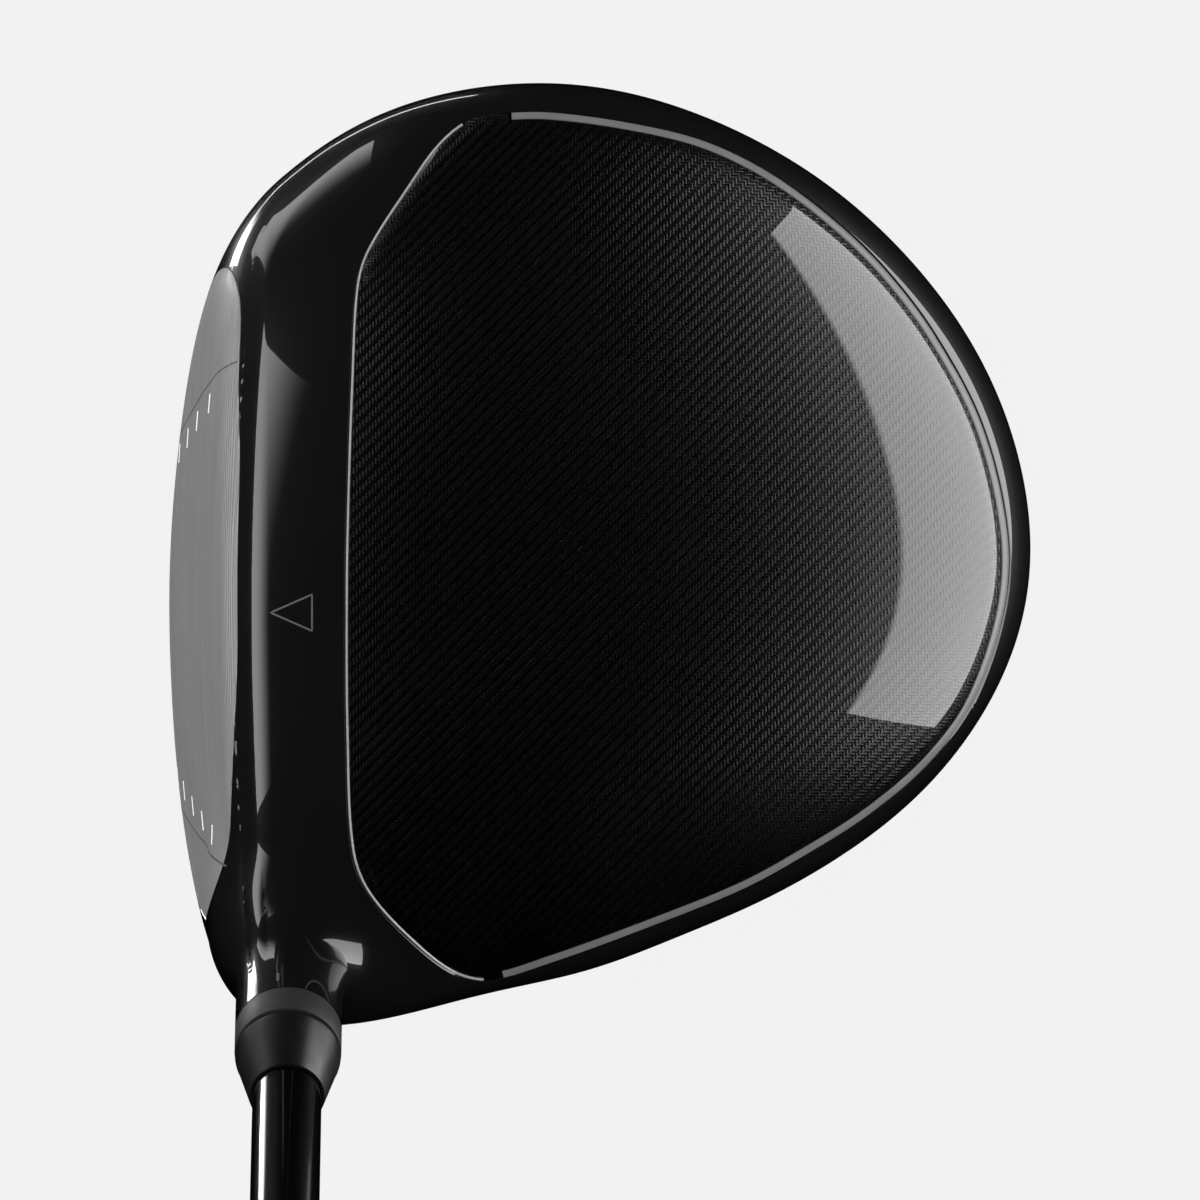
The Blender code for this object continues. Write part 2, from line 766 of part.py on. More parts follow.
def build_panels(carbon, trim, bright, face_metal):
    crown = closed_spline(CROWN_EDGE, 80)
    step = GAP + TRIM_WIDTH + GAP
    pieces = [
        sheet("crown_panel", on_crown, inset(crown, step), CROWN_CENTRE, -PANEL, 0.0, carbon),
        face_block("face_plate", inset(closed_spline(FACE_EDGE, 48), GAP), FACE_PLATE, None, face_metal),
    ]
    start = nearest(crown, TRIM_START)
    end = nearest(crown, TRIM_END)
    pieces.append(strip("crown_trim_band", crown, start, end, trim))
    pieces.append(strip("crown_front_bead", crown, end + 1, start - 1, bright))
    for edge, centre, name in (
        (TOE_PANEL_EDGE, TOE_PANEL_CENTRE, "sole_panel_toe"),
        (HEEL_PANEL_EDGE, HEEL_PANEL_CENTRE, "sole_panel_heel"),
    ):
        outline = inset(closed_spline(edge, 40), GAP)
        pieces.append(sheet(name, on_sole, outline, centre, -PANEL, 0.0, carbon))
    for piece in pieces:
        piece.parent = HEAD


def torx_cut(item, parent, low, high):
    """Cuts a six-lobed socket into a screw's head."""
    combine(item, [prism("socket", star_outline(TORX_RADIUS), low, high, parent)], "DIFFERENCE")


def build_hosel_parts(steel, alloy, plastic):
    head_top = SEAT_FROM - GAP - WASHER_THICKNESS - GAP
    head_foot = head_top - BOLT_HEAD_HEIGHT
    bolt = turned(
        "hosel_bolt",
        (
            (0.0, head_foot),
            (BOLT_HEAD_RADIUS - 0.4, head_foot),
            (BOLT_HEAD_RADIUS, head_foot + 0.4),
            (BOLT_HEAD_RADIUS, head_top),
            (BOLT_RADIUS, head_top),
            (BOLT_RADIUS, BOLT_TIP - 1.0),
            (BOLT_RADIUS - 0.8, BOLT_TIP),
            (0.0, BOLT_TIP),
        ),
        HOSEL_BOLT,
        steel,
        steps=28,
    )
    torx_cut(bolt, HOSEL_BOLT, head_foot - 1.0, head_foot + TORX_DEPTH)
    washer_foot = SEAT_FROM - GAP - WASHER_THICKNESS
    washer_profile = tube_profile(BOLT_HOLE_RADIUS, WASHER_RADIUS, washer_foot, SEAT_FROM - GAP)
    turned("bolt_washer", washer_profile, HOSEL, steel, 28)
    retainer_top = head_foot - GAP
    retainer_foot = retainer_top - RETAINER_THICKNESS
    retainer = tube_profile(RETAINER_HOLE, PORT_RADIUS - RETAINER_EASE, retainer_foot, retainer_top)
    turned("bolt_retainer", retainer, HOSEL, plastic, 28)

    ring_foot = HOSEL_TOP + GAP
    ring_top = ring_foot + RING_LENGTH
    ring_profile = (
        (BORE_RADIUS, ring_foot),
        (HOSEL_RADIUS - 0.15, ring_foot),
        (HOSEL_RADIUS, ring_foot + 0.15),
        (HOSEL_RADIUS, ring_top - 0.25),
        (HOSEL_RADIUS - 0.25, ring_top),
        (BORE_RADIUS, ring_top),
    )
    ring = turned("adapter_ring", ring_profile, HOSEL_RING, alloy, 32)
    keys = key_blocks("key", 0.0, HOSEL_TOP - KEY_DEPTH, ring_foot + 0.5)
    combine(ring, keys, "UNION")

    collar_foot = ring_top + GAP
    collar_top = collar_foot + SLEEVE_COLLAR_HEIGHT
    sleeve_profile = (
        (SLEEVE_BORE, SHAFT_FOOT - GAP),
        (SLEEVE_BORE, collar_top),
        (SLEEVE_COLLAR_RADIUS, collar_top),
        (SLEEVE_COLLAR_RADIUS, collar_foot),
        (SLEEVE_RADIUS, collar_foot),
        (SLEEVE_RADIUS, SLEEVE_FOOT + 0.5),
        (SLEEVE_RADIUS - 0.5, SLEEVE_FOOT),
        (BOLT_HOLE_RADIUS, SLEEVE_FOOT),
        (BOLT_HOLE_RADIUS, SLEEVE_FOOT + SLEEVE_THREAD_DEPTH),
        (0.0, SLEEVE_FOOT + SLEEVE_THREAD_DEPTH),
        (0.0, SHAFT_FOOT - GAP),
    )
    turned("adapter_sleeve", sleeve_profile, HOSEL_SHAFT, alloy, 28)

    ferrule_foot = ring_top + GAP
    ferrule_top = ferrule_foot + FERRULE_LENGTH
    ferrule_profile = (
        (SLEEVE_COLLAR_RADIUS + GAP, ferrule_foot),
        (HOSEL_RADIUS - 0.25, ferrule_foot),
        (HOSEL_RADIUS - 0.05, ferrule_foot + 0.25),
        (HOSEL_RADIUS - 0.35, ferrule_foot + 1.6),
        (FERRULE_END_RADIUS + 0.05, ferrule_top - 0.2),
        (FERRULE_END_RADIUS - 0.1, ferrule_top),
        (FERRULE_BORE, ferrule_top),
        (FERRULE_BORE, collar_top + GAP),
        (SLEEVE_COLLAR_RADIUS + GAP, collar_top + GAP),
    )
    turned("ferrule", ferrule_profile, HOSEL_SHAFT, plastic, 28)


def shaft_radius(height):
    """Outer radius of the shaft at a distance along its axis."""
    if height < SHAFT_PARALLEL_END:
        return SHAFT_NECK_RADIUS
    part = min((height - SHAFT_PARALLEL_END) / (SHAFT_TAPER_END - SHAFT_PARALLEL_END), 1.0)
    return SHAFT_NECK_RADIUS + part * (SHAFT_BUTT_RADIUS - SHAFT_NECK_RADIUS)


def build_shaft(paint, cork, paper, rubber):
    outer = ((SHAFT_TIP_RADIUS, SHAFT_FOOT), (SHAFT_TIP_RADIUS, SHAFT_TIP_END))
    outer += ((SHAFT_NECK_RADIUS, SHAFT_TIP_END + 2.0),)
    outer += ((SHAFT_NECK_RADIUS, SHAFT_PARALLEL_END), (SHAFT_BUTT_RADIUS, SHAFT_TAPER_END))
    outer += ((SHAFT_BUTT_RADIUS, SHAFT_TOP),)
    inner = tuple((radius - SHAFT_WALL, height) for radius, height in reversed(outer))
    turned("shaft", outer + inner, HOSEL_SHAFT, paint, 28)
    plug_radius = SHAFT_TIP_RADIUS - SHAFT_WALL - 0.2
    plug_profile = tube_profile(0.0, plug_radius, SHAFT_FOOT + 2.0, SHAFT_FOOT + 8.0)
    turned("shaft_tip_plug", plug_profile, HOSEL_SHAFT, cork, 16)

    cap_foot = CLUB_LENGTH - CAP_HEIGHT
    grip_top = cap_foot - GAP
    grip_foot = CLUB_LENGTH - GRIP_LENGTH
    tape_foot = grip_foot + TAPE_SET_BACK
    stations = (tape_foot, SHAFT_TAPER_END, SHAFT_TOP)
    tape_inner = tuple((shaft_radius(height) + TAPE_GAP, height) for height in stations)
    tape_outer = tuple((radius + TAPE_THICKNESS, height) for radius, height in reversed(tape_inner))
    turned("grip_tape", tape_inner + tape_outer, HOSEL_SHAFT, paper, 24)

    ease = 2 * TAPE_GAP + TAPE_THICKNESS
    bore_stations = (grip_foot, SHAFT_TAPER_END, grip_top)
    bore = tuple((shaft_radius(height) + ease, height) for height in bore_stations)
    outside = (
        (GRIP_BUTT_RADIUS, grip_top),
        (GRIP_BUTT_RADIUS - 0.3, grip_top - 35.0),
        (GRIP_MOUTH_RADIUS + 1.2, grip_foot + 90.0),
        (GRIP_MOUTH_RADIUS, grip_foot + 6.0),
        (GRIP_MOUTH_RADIUS - 0.9, grip_foot),
    )
    turned("grip", bore + outside, HOSEL_SHAFT, rubber, 32)

    spigot = SHAFT_BUTT_RADIUS - SHAFT_WALL - GAP
    cap = (
        (VENT_RADIUS, SHAFT_TOP - SPIGOT_LENGTH),
        (spigot, SHAFT_TOP - SPIGOT_LENGTH),
        (spigot, cap_foot),
        (CAP_RADIUS - 0.6, cap_foot),
        (CAP_RADIUS, cap_foot + 0.6),
        (CAP_RADIUS, CLUB_LENGTH - 1.6),
        (CAP_RADIUS - 0.5, CLUB_LENGTH - 0.5),
        (CAP_RADIUS - 1.6, CLUB_LENGTH),
        (VENT_RADIUS, CLUB_LENGTH),
    )
    turned("grip_cap", cap, HOSEL_SHAFT, rubber, 32)


def build_rear_weight(tungsten, steel):
    low = -WEIGHT_SINK - WEIGHT_THICKNESS
    seat = -WEIGHT_SINK - WEIGHT_SCREW_HEAD_HEIGHT - GAP
    weight_profile = (
        (BOLT_HOLE_RADIUS, low),
        (WEIGHT_RADIUS, low),
        (WEIGHT_RADIUS, -WEIGHT_SINK - 0.6),
        (WEIGHT_RADIUS - 0.6, -WEIGHT_SINK),
        (WEIGHT_SCREW_HEAD + GAP, -WEIGHT_SINK),
        (WEIGHT_SCREW_HEAD + GAP, seat),
        (BOLT_HOLE_RADIUS, seat),
    )
    turned("rear_weight", weight_profile, WEIGHT_BLOCK, tungsten, 36)
    under_head = seat + GAP
    screw_profile = (
        (0.0, under_head + WEIGHT_SCREW_HEAD_HEIGHT - 0.3),
        (WEIGHT_SCREW_HEAD - 0.3, under_head + WEIGHT_SCREW_HEAD_HEIGHT - 0.3),
        (WEIGHT_SCREW_HEAD, under_head + WEIGHT_SCREW_HEAD_HEIGHT - 0.6),
        (WEIGHT_SCREW_HEAD, under_head),
        (BOLT_RADIUS, under_head),
        (BOLT_RADIUS, -WEIGHT_SCREW_LENGTH + 0.8),
        (BOLT_RADIUS - 0.7, -WEIGHT_SCREW_LENGTH),
        (0.0, -WEIGHT_SCREW_LENGTH),
    )
    screw = turned("rear_weight_screw", screw_profile, WEIGHT_SCREW, steel, 28)
    face = under_head + WEIGHT_SCREW_HEAD_HEIGHT - 0.3
    torx_cut(screw, WEIGHT_SCREW, face - 2.0, face + 1.0)


def axis_matrix(place, direction):
    """A frame in the head's frame with its origin at a place and its Z axis along a direction."""
    turn = Vector(direction).to_track_quat("Z", "Y").to_matrix().to_4x4()
    return Matrix.Translation(Vector(place) * MM) @ turn


clear_scene()
HEAD = make_empty("head_frame", Matrix.Translation(HEAD_ORIGIN * MM))
HOSEL = make_empty("hosel_axis", axis_matrix(AXIS_AT_GROUND, AXIS), HEAD)
HOSEL_BOLT = make_empty("bolt_axis", Matrix.Identity(4), HOSEL)
HOSEL_RING = make_empty("ring_axis", Matrix.Identity(4), HOSEL)
HOSEL_SHAFT = make_empty("shaft_axis", Matrix.Identity(4), HOSEL_RING)
weight_plan = np.array([WEIGHT_AT])
weight_place = on_sole(weight_plan)[0]
weight_normal = outward(on_sole, weight_plan)[0]
WEIGHT = make_empty("weight_axis", axis_matrix(weight_place, weight_normal), HEAD)
WEIGHT_BLOCK = make_empty("weight_block_axis", Matrix.Identity(4), WEIGHT)
WEIGHT_SCREW = make_empty("weight_screw_axis", Matrix.Identity(4), WEIGHT_BLOCK)

gloss_black = make_material("gloss_black", BLACK_GLOSS, 0.12, 0.0)
carbon = make_material("carbon", CARBON, 0.2, 0.0)
face_metal = make_material("face_metal", FACE_GREY, 0.4, 1.0)
trim_grey = make_material("trim_grey", TRIM_GREY, 0.5, 0.0)
bright_metal = make_material("bright_metal", SILVER, 0.2, 1.0)
steel = make_material("steel", STEEL, 0.3, 1.0)
dark_alloy = make_material("dark_alloy", DARK_ALLOY, 0.5, 0.3)
dark_plastic = make_material("dark_plastic", DARK_ALLOY, 0.5, 0.0)
black_rubber = make_material("black_rubber", RUBBER, 0.8, 0.0)
tape_paper = make_material("tape_paper", (0.6, 0.55, 0.42), 0.8, 0.0)

build_head(gloss_black)
build_panels(carbon, trim_grey, bright_metal, face_metal)
build_hosel_parts(steel, dark_alloy, dark_plastic)
build_shaft(gloss_black, dark_plastic, tape_paper, black_rubber)
build_rear_weight(steel, steel)
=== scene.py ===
"""A golf driver at address, seen from straight above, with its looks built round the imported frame.

Shapes of the head are in millimetres in the head's frame, whose origin is on the flat of the sole.
Turned pieces are profiles of (radius, distance), the distance being along the shaft's axis from
where that meets the ground, or out of the sole along the rear weight's axis.
"""

import math

import bmesh
import bpy
import numpy as np
from mathutils import Matrix, Vector


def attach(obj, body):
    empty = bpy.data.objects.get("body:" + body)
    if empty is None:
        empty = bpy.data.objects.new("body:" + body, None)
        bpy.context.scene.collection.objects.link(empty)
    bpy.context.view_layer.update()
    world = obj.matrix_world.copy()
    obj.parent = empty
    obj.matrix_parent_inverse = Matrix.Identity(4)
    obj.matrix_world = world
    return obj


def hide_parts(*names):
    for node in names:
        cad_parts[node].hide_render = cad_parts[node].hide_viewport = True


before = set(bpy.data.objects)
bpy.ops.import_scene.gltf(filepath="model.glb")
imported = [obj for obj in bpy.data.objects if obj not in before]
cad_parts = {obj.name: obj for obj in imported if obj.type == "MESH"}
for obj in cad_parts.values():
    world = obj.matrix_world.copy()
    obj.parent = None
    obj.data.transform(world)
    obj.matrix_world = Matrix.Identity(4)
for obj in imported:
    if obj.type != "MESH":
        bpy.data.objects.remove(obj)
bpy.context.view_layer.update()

MM = 0.001
SHARP_ANGLE = math.radians(34.0)

# ---------------- club, as in the CAD
LIE = math.radians(58.0)
CLUB_LENGTH = 1156.0
AXIS_AT_GROUND = Vector((-29.1, -15.5, 0.0))
AXIS = Vector((0.0, -math.cos(LIE), math.sin(LIE)))
HEAD_ORIGIN = -(AXIS_AT_GROUND + AXIS * CLUB_LENGTH)
HEAD_AT = Matrix.Translation(HEAD_ORIGIN * MM)


def axis_matrix(place, direction):
    """A frame in the head's frame with its origin at a place and its Z axis along a direction."""
    turn = Vector(direction).to_track_quat("Z", "Y").to_matrix().to_4x4()
    return Matrix.Translation(Vector(place) * MM) @ turn


HOSEL_IN_HEAD = axis_matrix(AXIS_AT_GROUND, AXIS)
HOSEL_AT = HEAD_AT @ HOSEL_IN_HEAD

PLAN_CENTRE = (5.0, 4.0)
PLAN_POINTS = (
    (69.4, 9.6), (69.3, 15.3), (66.5, 26.4), (61.8, 36.8), (55.2, 46.1), (47.2, 54.3),
    (38.0, 61.1), (27.8, 66.5), (16.7, 70.1), (5.0, 71.7), (-6.7, 70.6), (-15.5, 68.2),
    (-23.1, 64.4), (-28.2, 60.9), (-32.6, 57.1), (-36.8, 53.0), (-41.2, 48.6), (-46.6, 41.5),
    (-53.0, 29.0), (-59.0, 14.0), (-61.5, -2.0), (-60.5, -18.0), (-56.5, -33.0), (-48.5, -44.5),
    (-37.5, -51.5), (-28.0, -54.3), (-20.0, -53.6), (-9.9, -51.6), (5.0, -48.1), (17.9, -44.1),
    (30.0, -39.2), (37.9, -35.2), (46.0, -30.4), (53.7, -24.1), (60.7, -16.3), (66.1, -6.8),
    (68.8, 1.5),
)
HARMONICS = 12
PLAN_STEPS = 16384
BELT_HEIGHT = 29.0
BELT_FALL = 0.075
BELT_BLEND = 8.0
CROWN_TOP = 61.95
CROWN_TOP_X = -14.0
CROWN_RADIUS_X = 205.0
CROWN_RADIUS_Y = 260.0
CROWN_POWER = 2.6
SOLE_POWER = 3.6
SOLE_FULLNESS = 2.2
SOLE_RADIUS_FRONT = 420.0
SOLE_RADIUS_REAR = 260.0
SOLE_RADIUS_Y = 230.0
SOLE_FLAT_DEPTH = 0.6
STEP_HEIGHT = 0.55
STEP_EASE = 0.8
STEP_REACH = 9.0
STEP_WIDTH = 2.6
STEP_X = -35.2
STEP_CURVE = 0.0011
STEP_TOE = 84.8
STEP_CORNER = 4.0
FACE_X = -43.2
FACE_MID_HEIGHT = 30.0
LOFT_SLOPE = math.tan(math.radians(11.3))
BULGE_RADIUS = 310.0
BULGE_AT = 4.0
ROLL_RADIUS = 300.0
TOPLINE_BLEND = 4.5
SOLE_EDGE_BLEND = 9.0
TOPLINE_FROM = 50.0
TOPLINE_TO_SOLE = 30.0

HOSEL_TOP = 73.0
HOSEL_RADIUS = 7.05
HOSEL_FLARE = 1.2
HOSEL_FLARE_END = 62.0
HOSEL_FLARE_REACH = 14.0
HOSEL_START = 46.0
HOSEL_START_BLEND = 3.0
HOSEL_FILLET = 10.0
HOSEL_SPARE = 8.0
NET_LOW = (-52.0, -68.0, -1.5)
NET_HIGH = (73.0, 76.0, 82.0)

# ---------------- head outlines
CROWN_EDGE = (
    (-2.5, 67.3), (5.4, 67.6), (18.2, 65.8), (26.8, 63.5), (35.3, 59.2), (43.8, 52.8),
    (50.3, 46.4), (56.7, 37.9), (63.0, 25.9), (66.4, 11.5), (65.9, 1.0), (61.8, -11.1),
    (56.0, -19.0), (48.1, -25.8), (39.6, -31.2), (31.0, -35.9), (18.3, -41.0), (5.4, -45.7),
    (-2.6, -48.0), (-7.3, -47.0), (-12.6, -42.9), (-18.6, -36.2), (-20.8, -30.4),
    (-21.5, -16.0), (-21.6, 4.5), (-21.4, 16.0), (-20.9, 32.2), (-20.3, 44.0),
    (-18.9, 49.0), (-13.5, 57.7), (-9.8, 63.0), (-6.2, 66.2),
)
CROWN_CENTRE = (15.0, 8.0)
TRIM_START = (0.2, 67.5)
TRIM_END = (-0.6, -47.6)
BEAD_START = (-3.2, -47.9)
BEAD_END = (-6.3, 66.1)
FACE_EDGE = (
    (0.0, 55.0), (18.0, 53.3), (32.0, 49.3), (42.0, 44.5), (46.6, 38.5), (46.2, 31.5),
    (41.5, 25.0), (36.0, 18.0), (30.0, 13.5), (18.0, 10.0), (0.0, 8.8), (-14.0, 9.6),
    (-26.0, 13.0), (-34.5, 18.5), (-39.5, 26.0), (-40.5, 34.0), (-37.5, 42.0),
    (-30.0, 47.8), (-16.0, 53.0),
)
FACE_CENTRE = (2.0, 32.0)
TOE_PANEL_EDGE = (
    (-12.0, 16.0), (-12.5, 34.0), (-4.0, 48.0), (14.0, 52.5),
    (32.0, 43.0), (42.0, 28.0), (38.0, 17.5), (14.0, 12.5),
)
TOE_PANEL_CENTRE = (12.0, 30.0)
HEEL_PANEL_EDGE = (
    (-10.0, -14.0), (-10.5, -27.0), (0.0, -33.0), (16.0, -31.0),
    (32.0, -22.0), (40.0, -12.0), (34.0, -7.5), (14.0, -9.5),
)
HEEL_PANEL_CENTRE = (12.0, -19.0)
WEIGHT_AT = (52.5, 4.0)

PANEL = 1.2
RECESS = 1.5
FACE_PLATE = 2.8
SEAM = 0.07
TRIM_WIDTH = 0.92
BEAD_WIDTH = 0.26
EDGE_ROUND = 0.12
AROUND = 480
TURNS = 112
NET_SIZE = 0.5


# ---------------- curves
def closed_spline(points, count):
    """A smooth closed curve through the points, as this many evenly spaced points."""
    corners = np.asarray(points, float)
    t = (np.arange(24) / 24)[:, None]
    runs = []
    for i in range(len(corners)):
        before, start, end, beyond = (corners[(i + k) % len(corners)] for k in (-1, 0, 1, 2))
        length = math.dist(start, end)
        leave = (end - before) * length / (math.dist(start, before) + length)
        arrive = (beyond - start) * length / (math.dist(end, beyond) + length)
        runs.append(
            start * (2 * t**3 - 3 * t**2 + 1)
            + leave * (t**3 - 2 * t**2 + t)
            + end * (3 * t**2 - 2 * t**3)
            + arrive * (t**3 - t**2)
        )
    return even_points(np.vstack(runs + [runs[0][:1]]), count, False)


def even_points(curve, count, endpoint=True):
    travelled = np.concatenate([[0.0], np.cumsum(np.linalg.norm(np.diff(curve, axis=0), axis=1))])
    places = np.linspace(0.0, travelled[-1], count, endpoint=endpoint)
    return np.column_stack([np.interp(places, travelled, curve[:, k]) for k in (0, 1)])


def inset(outline, distance):
    """The closed outline moved inwards by one distance, or by one for each of its points."""
    along = np.roll(outline, -1, axis=0) - np.roll(outline, 1, axis=0)
    inward = np.column_stack([along[:, 1], -along[:, 0]])
    inward /= np.linalg.norm(inward, axis=1)[:, None]
    turning = np.sum(outline[:, 0] * along[:, 1] - outline[:, 1] * along[:, 0])
    amount = np.broadcast_to(np.asarray(distance, float), len(outline))[:, None]
    return outline - math.copysign(1.0, turning) * amount * inward


def nearest(outline, place):
    return int(np.argmin(np.hypot(outline[:, 0] - place[0], outline[:, 1] - place[1])))


# ---------------- the head's surface
def plan_radii():
    """The plan outline's radius about its centre, at even angles all the way round."""
    turns = np.arange(1, HARMONICS + 1)

    def terms(angle):
        spread = np.multiply.outer(angle, turns)
        return np.hstack([np.ones((len(angle), 1)), np.cos(spread), np.sin(spread)])

    offset = np.asarray(PLAN_POINTS) - PLAN_CENTRE
    angle = np.arctan2(offset[:, 1], offset[:, 0])
    series = np.linalg.lstsq(terms(angle), np.hypot(*offset.T), rcond=None)[0]
    angles = np.linspace(-math.pi, math.pi, PLAN_STEPS + 1)
    return angles, terms(angles) @ series


PLAN_ANGLES, PLAN_RADII = plan_radii()


def plan_ratio(x, y):
    """0 at the plan's centre and 1 on its outline."""
    dx = x - PLAN_CENTRE[0]
    dy = y - PLAN_CENTRE[1]
    return np.hypot(dx, dy) / np.interp(np.arctan2(dy, dx), PLAN_ANGLES, PLAN_RADII)


def smooth_max(a, b, reach):
    blend = np.clip(1.0 - np.abs(a - b) / reach, 0.0, None)
    return np.maximum(a, b) + 0.25 * reach * blend**2


def smooth_step(value):
    part = np.clip(value, 0.0, 1.0)
    return part * part * (3.0 - 2.0 * part)


def belt_height(x):
    return BELT_HEIGHT - BELT_FALL * (x - CROWN_TOP_X)


def crown_step(x, y):
    """The small step up behind the face, which turns back along the toe, and the rise beyond it."""
    behind_face = x - STEP_X - STEP_CURVE * y**2
    behind_toe = (x - y + STEP_TOE) / math.sqrt(2.0)
    distance = -smooth_max(-behind_face, -behind_toe, STEP_CORNER)
    eased_off = 1.0 - (1.0 - np.clip((distance + STEP_WIDTH / 2) / STEP_REACH, 0.0, 1.0)) ** 3
    return STEP_HEIGHT * smooth_step(distance / STEP_WIDTH + 0.5) + STEP_EASE * eased_off


def crown_rise(x, y):
    arch = (x - CROWN_TOP_X) ** 2 / (2 * CROWN_RADIUS_X) + y**2 / (2 * CROWN_RADIUS_Y)
    return CROWN_TOP - arch + crown_step(x, y) - belt_height(x)


def sole_drop(x, y):
    radius = np.where(x < 0.0, SOLE_RADIUS_FRONT, SOLE_RADIUS_REAR)
    return belt_height(x) - x**2 / (2 * radius) - y**2 / (2 * SOLE_RADIUS_Y) + SOLE_FLAT_DEPTH


def crown_z(x, y):
    rim = np.clip(1.0 - plan_ratio(x, y) ** CROWN_POWER, 0.0, None)
    return belt_height(x) + crown_rise(x, y) * np.sqrt(rim)


def sole_z(x, y):
    rim = np.clip(1.0 - plan_ratio(x, y) ** SOLE_POWER, 0.0, None)
    return np.maximum(belt_height(x) - sole_drop(x, y) * rim ** (1.0 / SOLE_FULLNESS), 0.0)


def face_x(y, z):
    height = z - FACE_MID_HEIGHT
    bulge = (y - BULGE_AT) ** 2 / (2 * BULGE_RADIUS)
    return FACE_X + LOFT_SLOPE * height + height**2 / (2 * ROLL_RADIUS) + bulge


def dome_field(x, y, z):
    up = z - belt_height(x)
    ratio = np.maximum(plan_ratio(x, y), 1e-6)
    power = SOLE_POWER + (CROWN_POWER - SOLE_POWER) * smooth_step(up / BELT_BLEND + 0.5)
    above = (up / crown_rise(x, y)) ** 2
    below = np.abs(up / sole_drop(x, y)) ** SOLE_FULLNESS
    return ratio**power + np.where(up > 0.0, above, below) - 1.0


def slopes(field, x, y, z, d=0.05):
    return np.stack(
        [
            field(x + d, y, z) - field(x - d, y, z),
            field(x, y + d, z) - field(x, y - d, z),
            field(x, y, z + d) - field(x, y, z - d),
        ]
    ) / (2 * d)


def distance_field(x, y, z):
    slope = np.linalg.norm(slopes(dome_field, x, y, z), axis=0)
    return dome_field(x, y, z) / np.maximum(slope, 1e-4)


def neck_field(x, y, z):
    """Distance to the outside of the hosel, which runs on past its top to be cut flat later."""
    dx = x - AXIS_AT_GROUND.x
    dy = y - AXIS_AT_GROUND.y
    along = dy * AXIS.y + z * AXIS.z
    radial = np.sqrt(np.maximum(dx**2 + dy**2 + z**2 - along**2, 0.0))
    flare = smooth_step((HOSEL_FLARE_END - along) / HOSEL_FLARE_REACH)
    wide = HOSEL_RADIUS + HOSEL_FLARE * flare
    return smooth_max(radial - wide, HOSEL_START - along, HOSEL_START_BLEND)


def head_field(x, y, z):
    """Negative inside the whole head, in millimetres near its surface."""
    lower = smooth_step((TOPLINE_FROM - z) / TOPLINE_TO_SOLE)
    reach = TOPLINE_BLEND + (SOLE_EDGE_BLEND - TOPLINE_BLEND) * lower
    body = smooth_max(distance_field(x, y, z), face_x(y, z) - x, reach)
    body = np.maximum(body, -z)
    return -smooth_max(-body, -neck_field(x, y, z), HOSEL_FILLET)


def rough_field(x, y, z):
    """head_field near the surface, and its sign farther off, where that is all that is needed."""
    x = np.broadcast_to(x, y.shape)
    raw = dome_field(x, y, z)
    field = np.where(raw > 0.0, 20.0, -20.0)
    neck = neck_field(x, y, z)
    field = np.minimum(np.maximum(field, face_x(y, z) - x), neck)
    near = (np.abs(raw) < 0.55) | ((neck < 8.0) & (raw > 0.0))
    field[near] = head_field(x[near], y[near], z[near])
    return np.maximum(field, along_axis(y, z) - HOSEL_TOP - HOSEL_SPARE)


def along_axis(y, z):
    return (y - AXIS_AT_GROUND.y) * AXIS.y + z * AXIS.z


def settle(points, rounds=4):
    """The points moved onto the head's surface along its slope."""
    points = points.copy()
    for _ in range(rounds):
        value = head_field(*points.T)
        slope = slopes(head_field, *points.T).T
        step = value / np.maximum(np.sum(slope**2, axis=1), 0.05)
        points -= np.clip(step, -1.0, 1.0)[:, None] * slope
    return points


def head_normal(points):
    slope = slopes(head_field, *points.T).T
    return slope / np.maximum(np.linalg.norm(slope, axis=1), 1e-6)[:, None]


def slide(points, direction, rounds=5):
    """The points moved onto the head's surface along one direction."""
    points = points.copy()
    direction = np.asarray(direction, float)
    for _ in range(rounds):
        value = head_field(*points.T)
        ahead = head_field(*(points + direction * 0.05).T)
        behind = head_field(*(points - direction * 0.05).T)
        slope = np.maximum((ahead - behind) / 0.1, 0.12)
        points += np.clip(-value / slope, -2.0, 2.0)[:, None] * direction
    return points


def on_crown(plan):
    return slide(np.column_stack([plan, crown_z(*plan.T)]), (0, 0, 1))


def on_sole(plan):
    return np.column_stack([plan, sole_z(*plan.T)])


def on_face(plan):
    y, z = plan.T
    return slide(np.column_stack([face_x(y, z), plan]), (-1, 0, 0))


# ---------------- meshes
def loft(loops, start=None, end=None):
    """Points and faces of a closed solid through loops of points.

    Each end closes on its middle point. With none given, the last loop joins the first.
    """
    count = len(loops[0])
    total = len(loops)
    points = np.vstack(loops)
    step = np.arange(count)
    after = (step + 1) % count
    pairs = [(i, i + 1) for i in range(total - 1)]
    if start is None and end is None:
        pairs.append((total - 1, 0))
    faces = []
    for low, high in pairs:
        ring = (low * count + step, low * count + after, high * count + after, high * count + step)
        faces.extend(np.column_stack(ring).tolist())
    for pole, ring in ((start, 0), (end, total - 1)):
        if pole is not None:
            hub = np.full(count, len(points))
            points = np.vstack([points, [pole]])
            faces.extend(np.column_stack([ring * count + step, ring * count + after, hub]).tolist())
    return points, faces


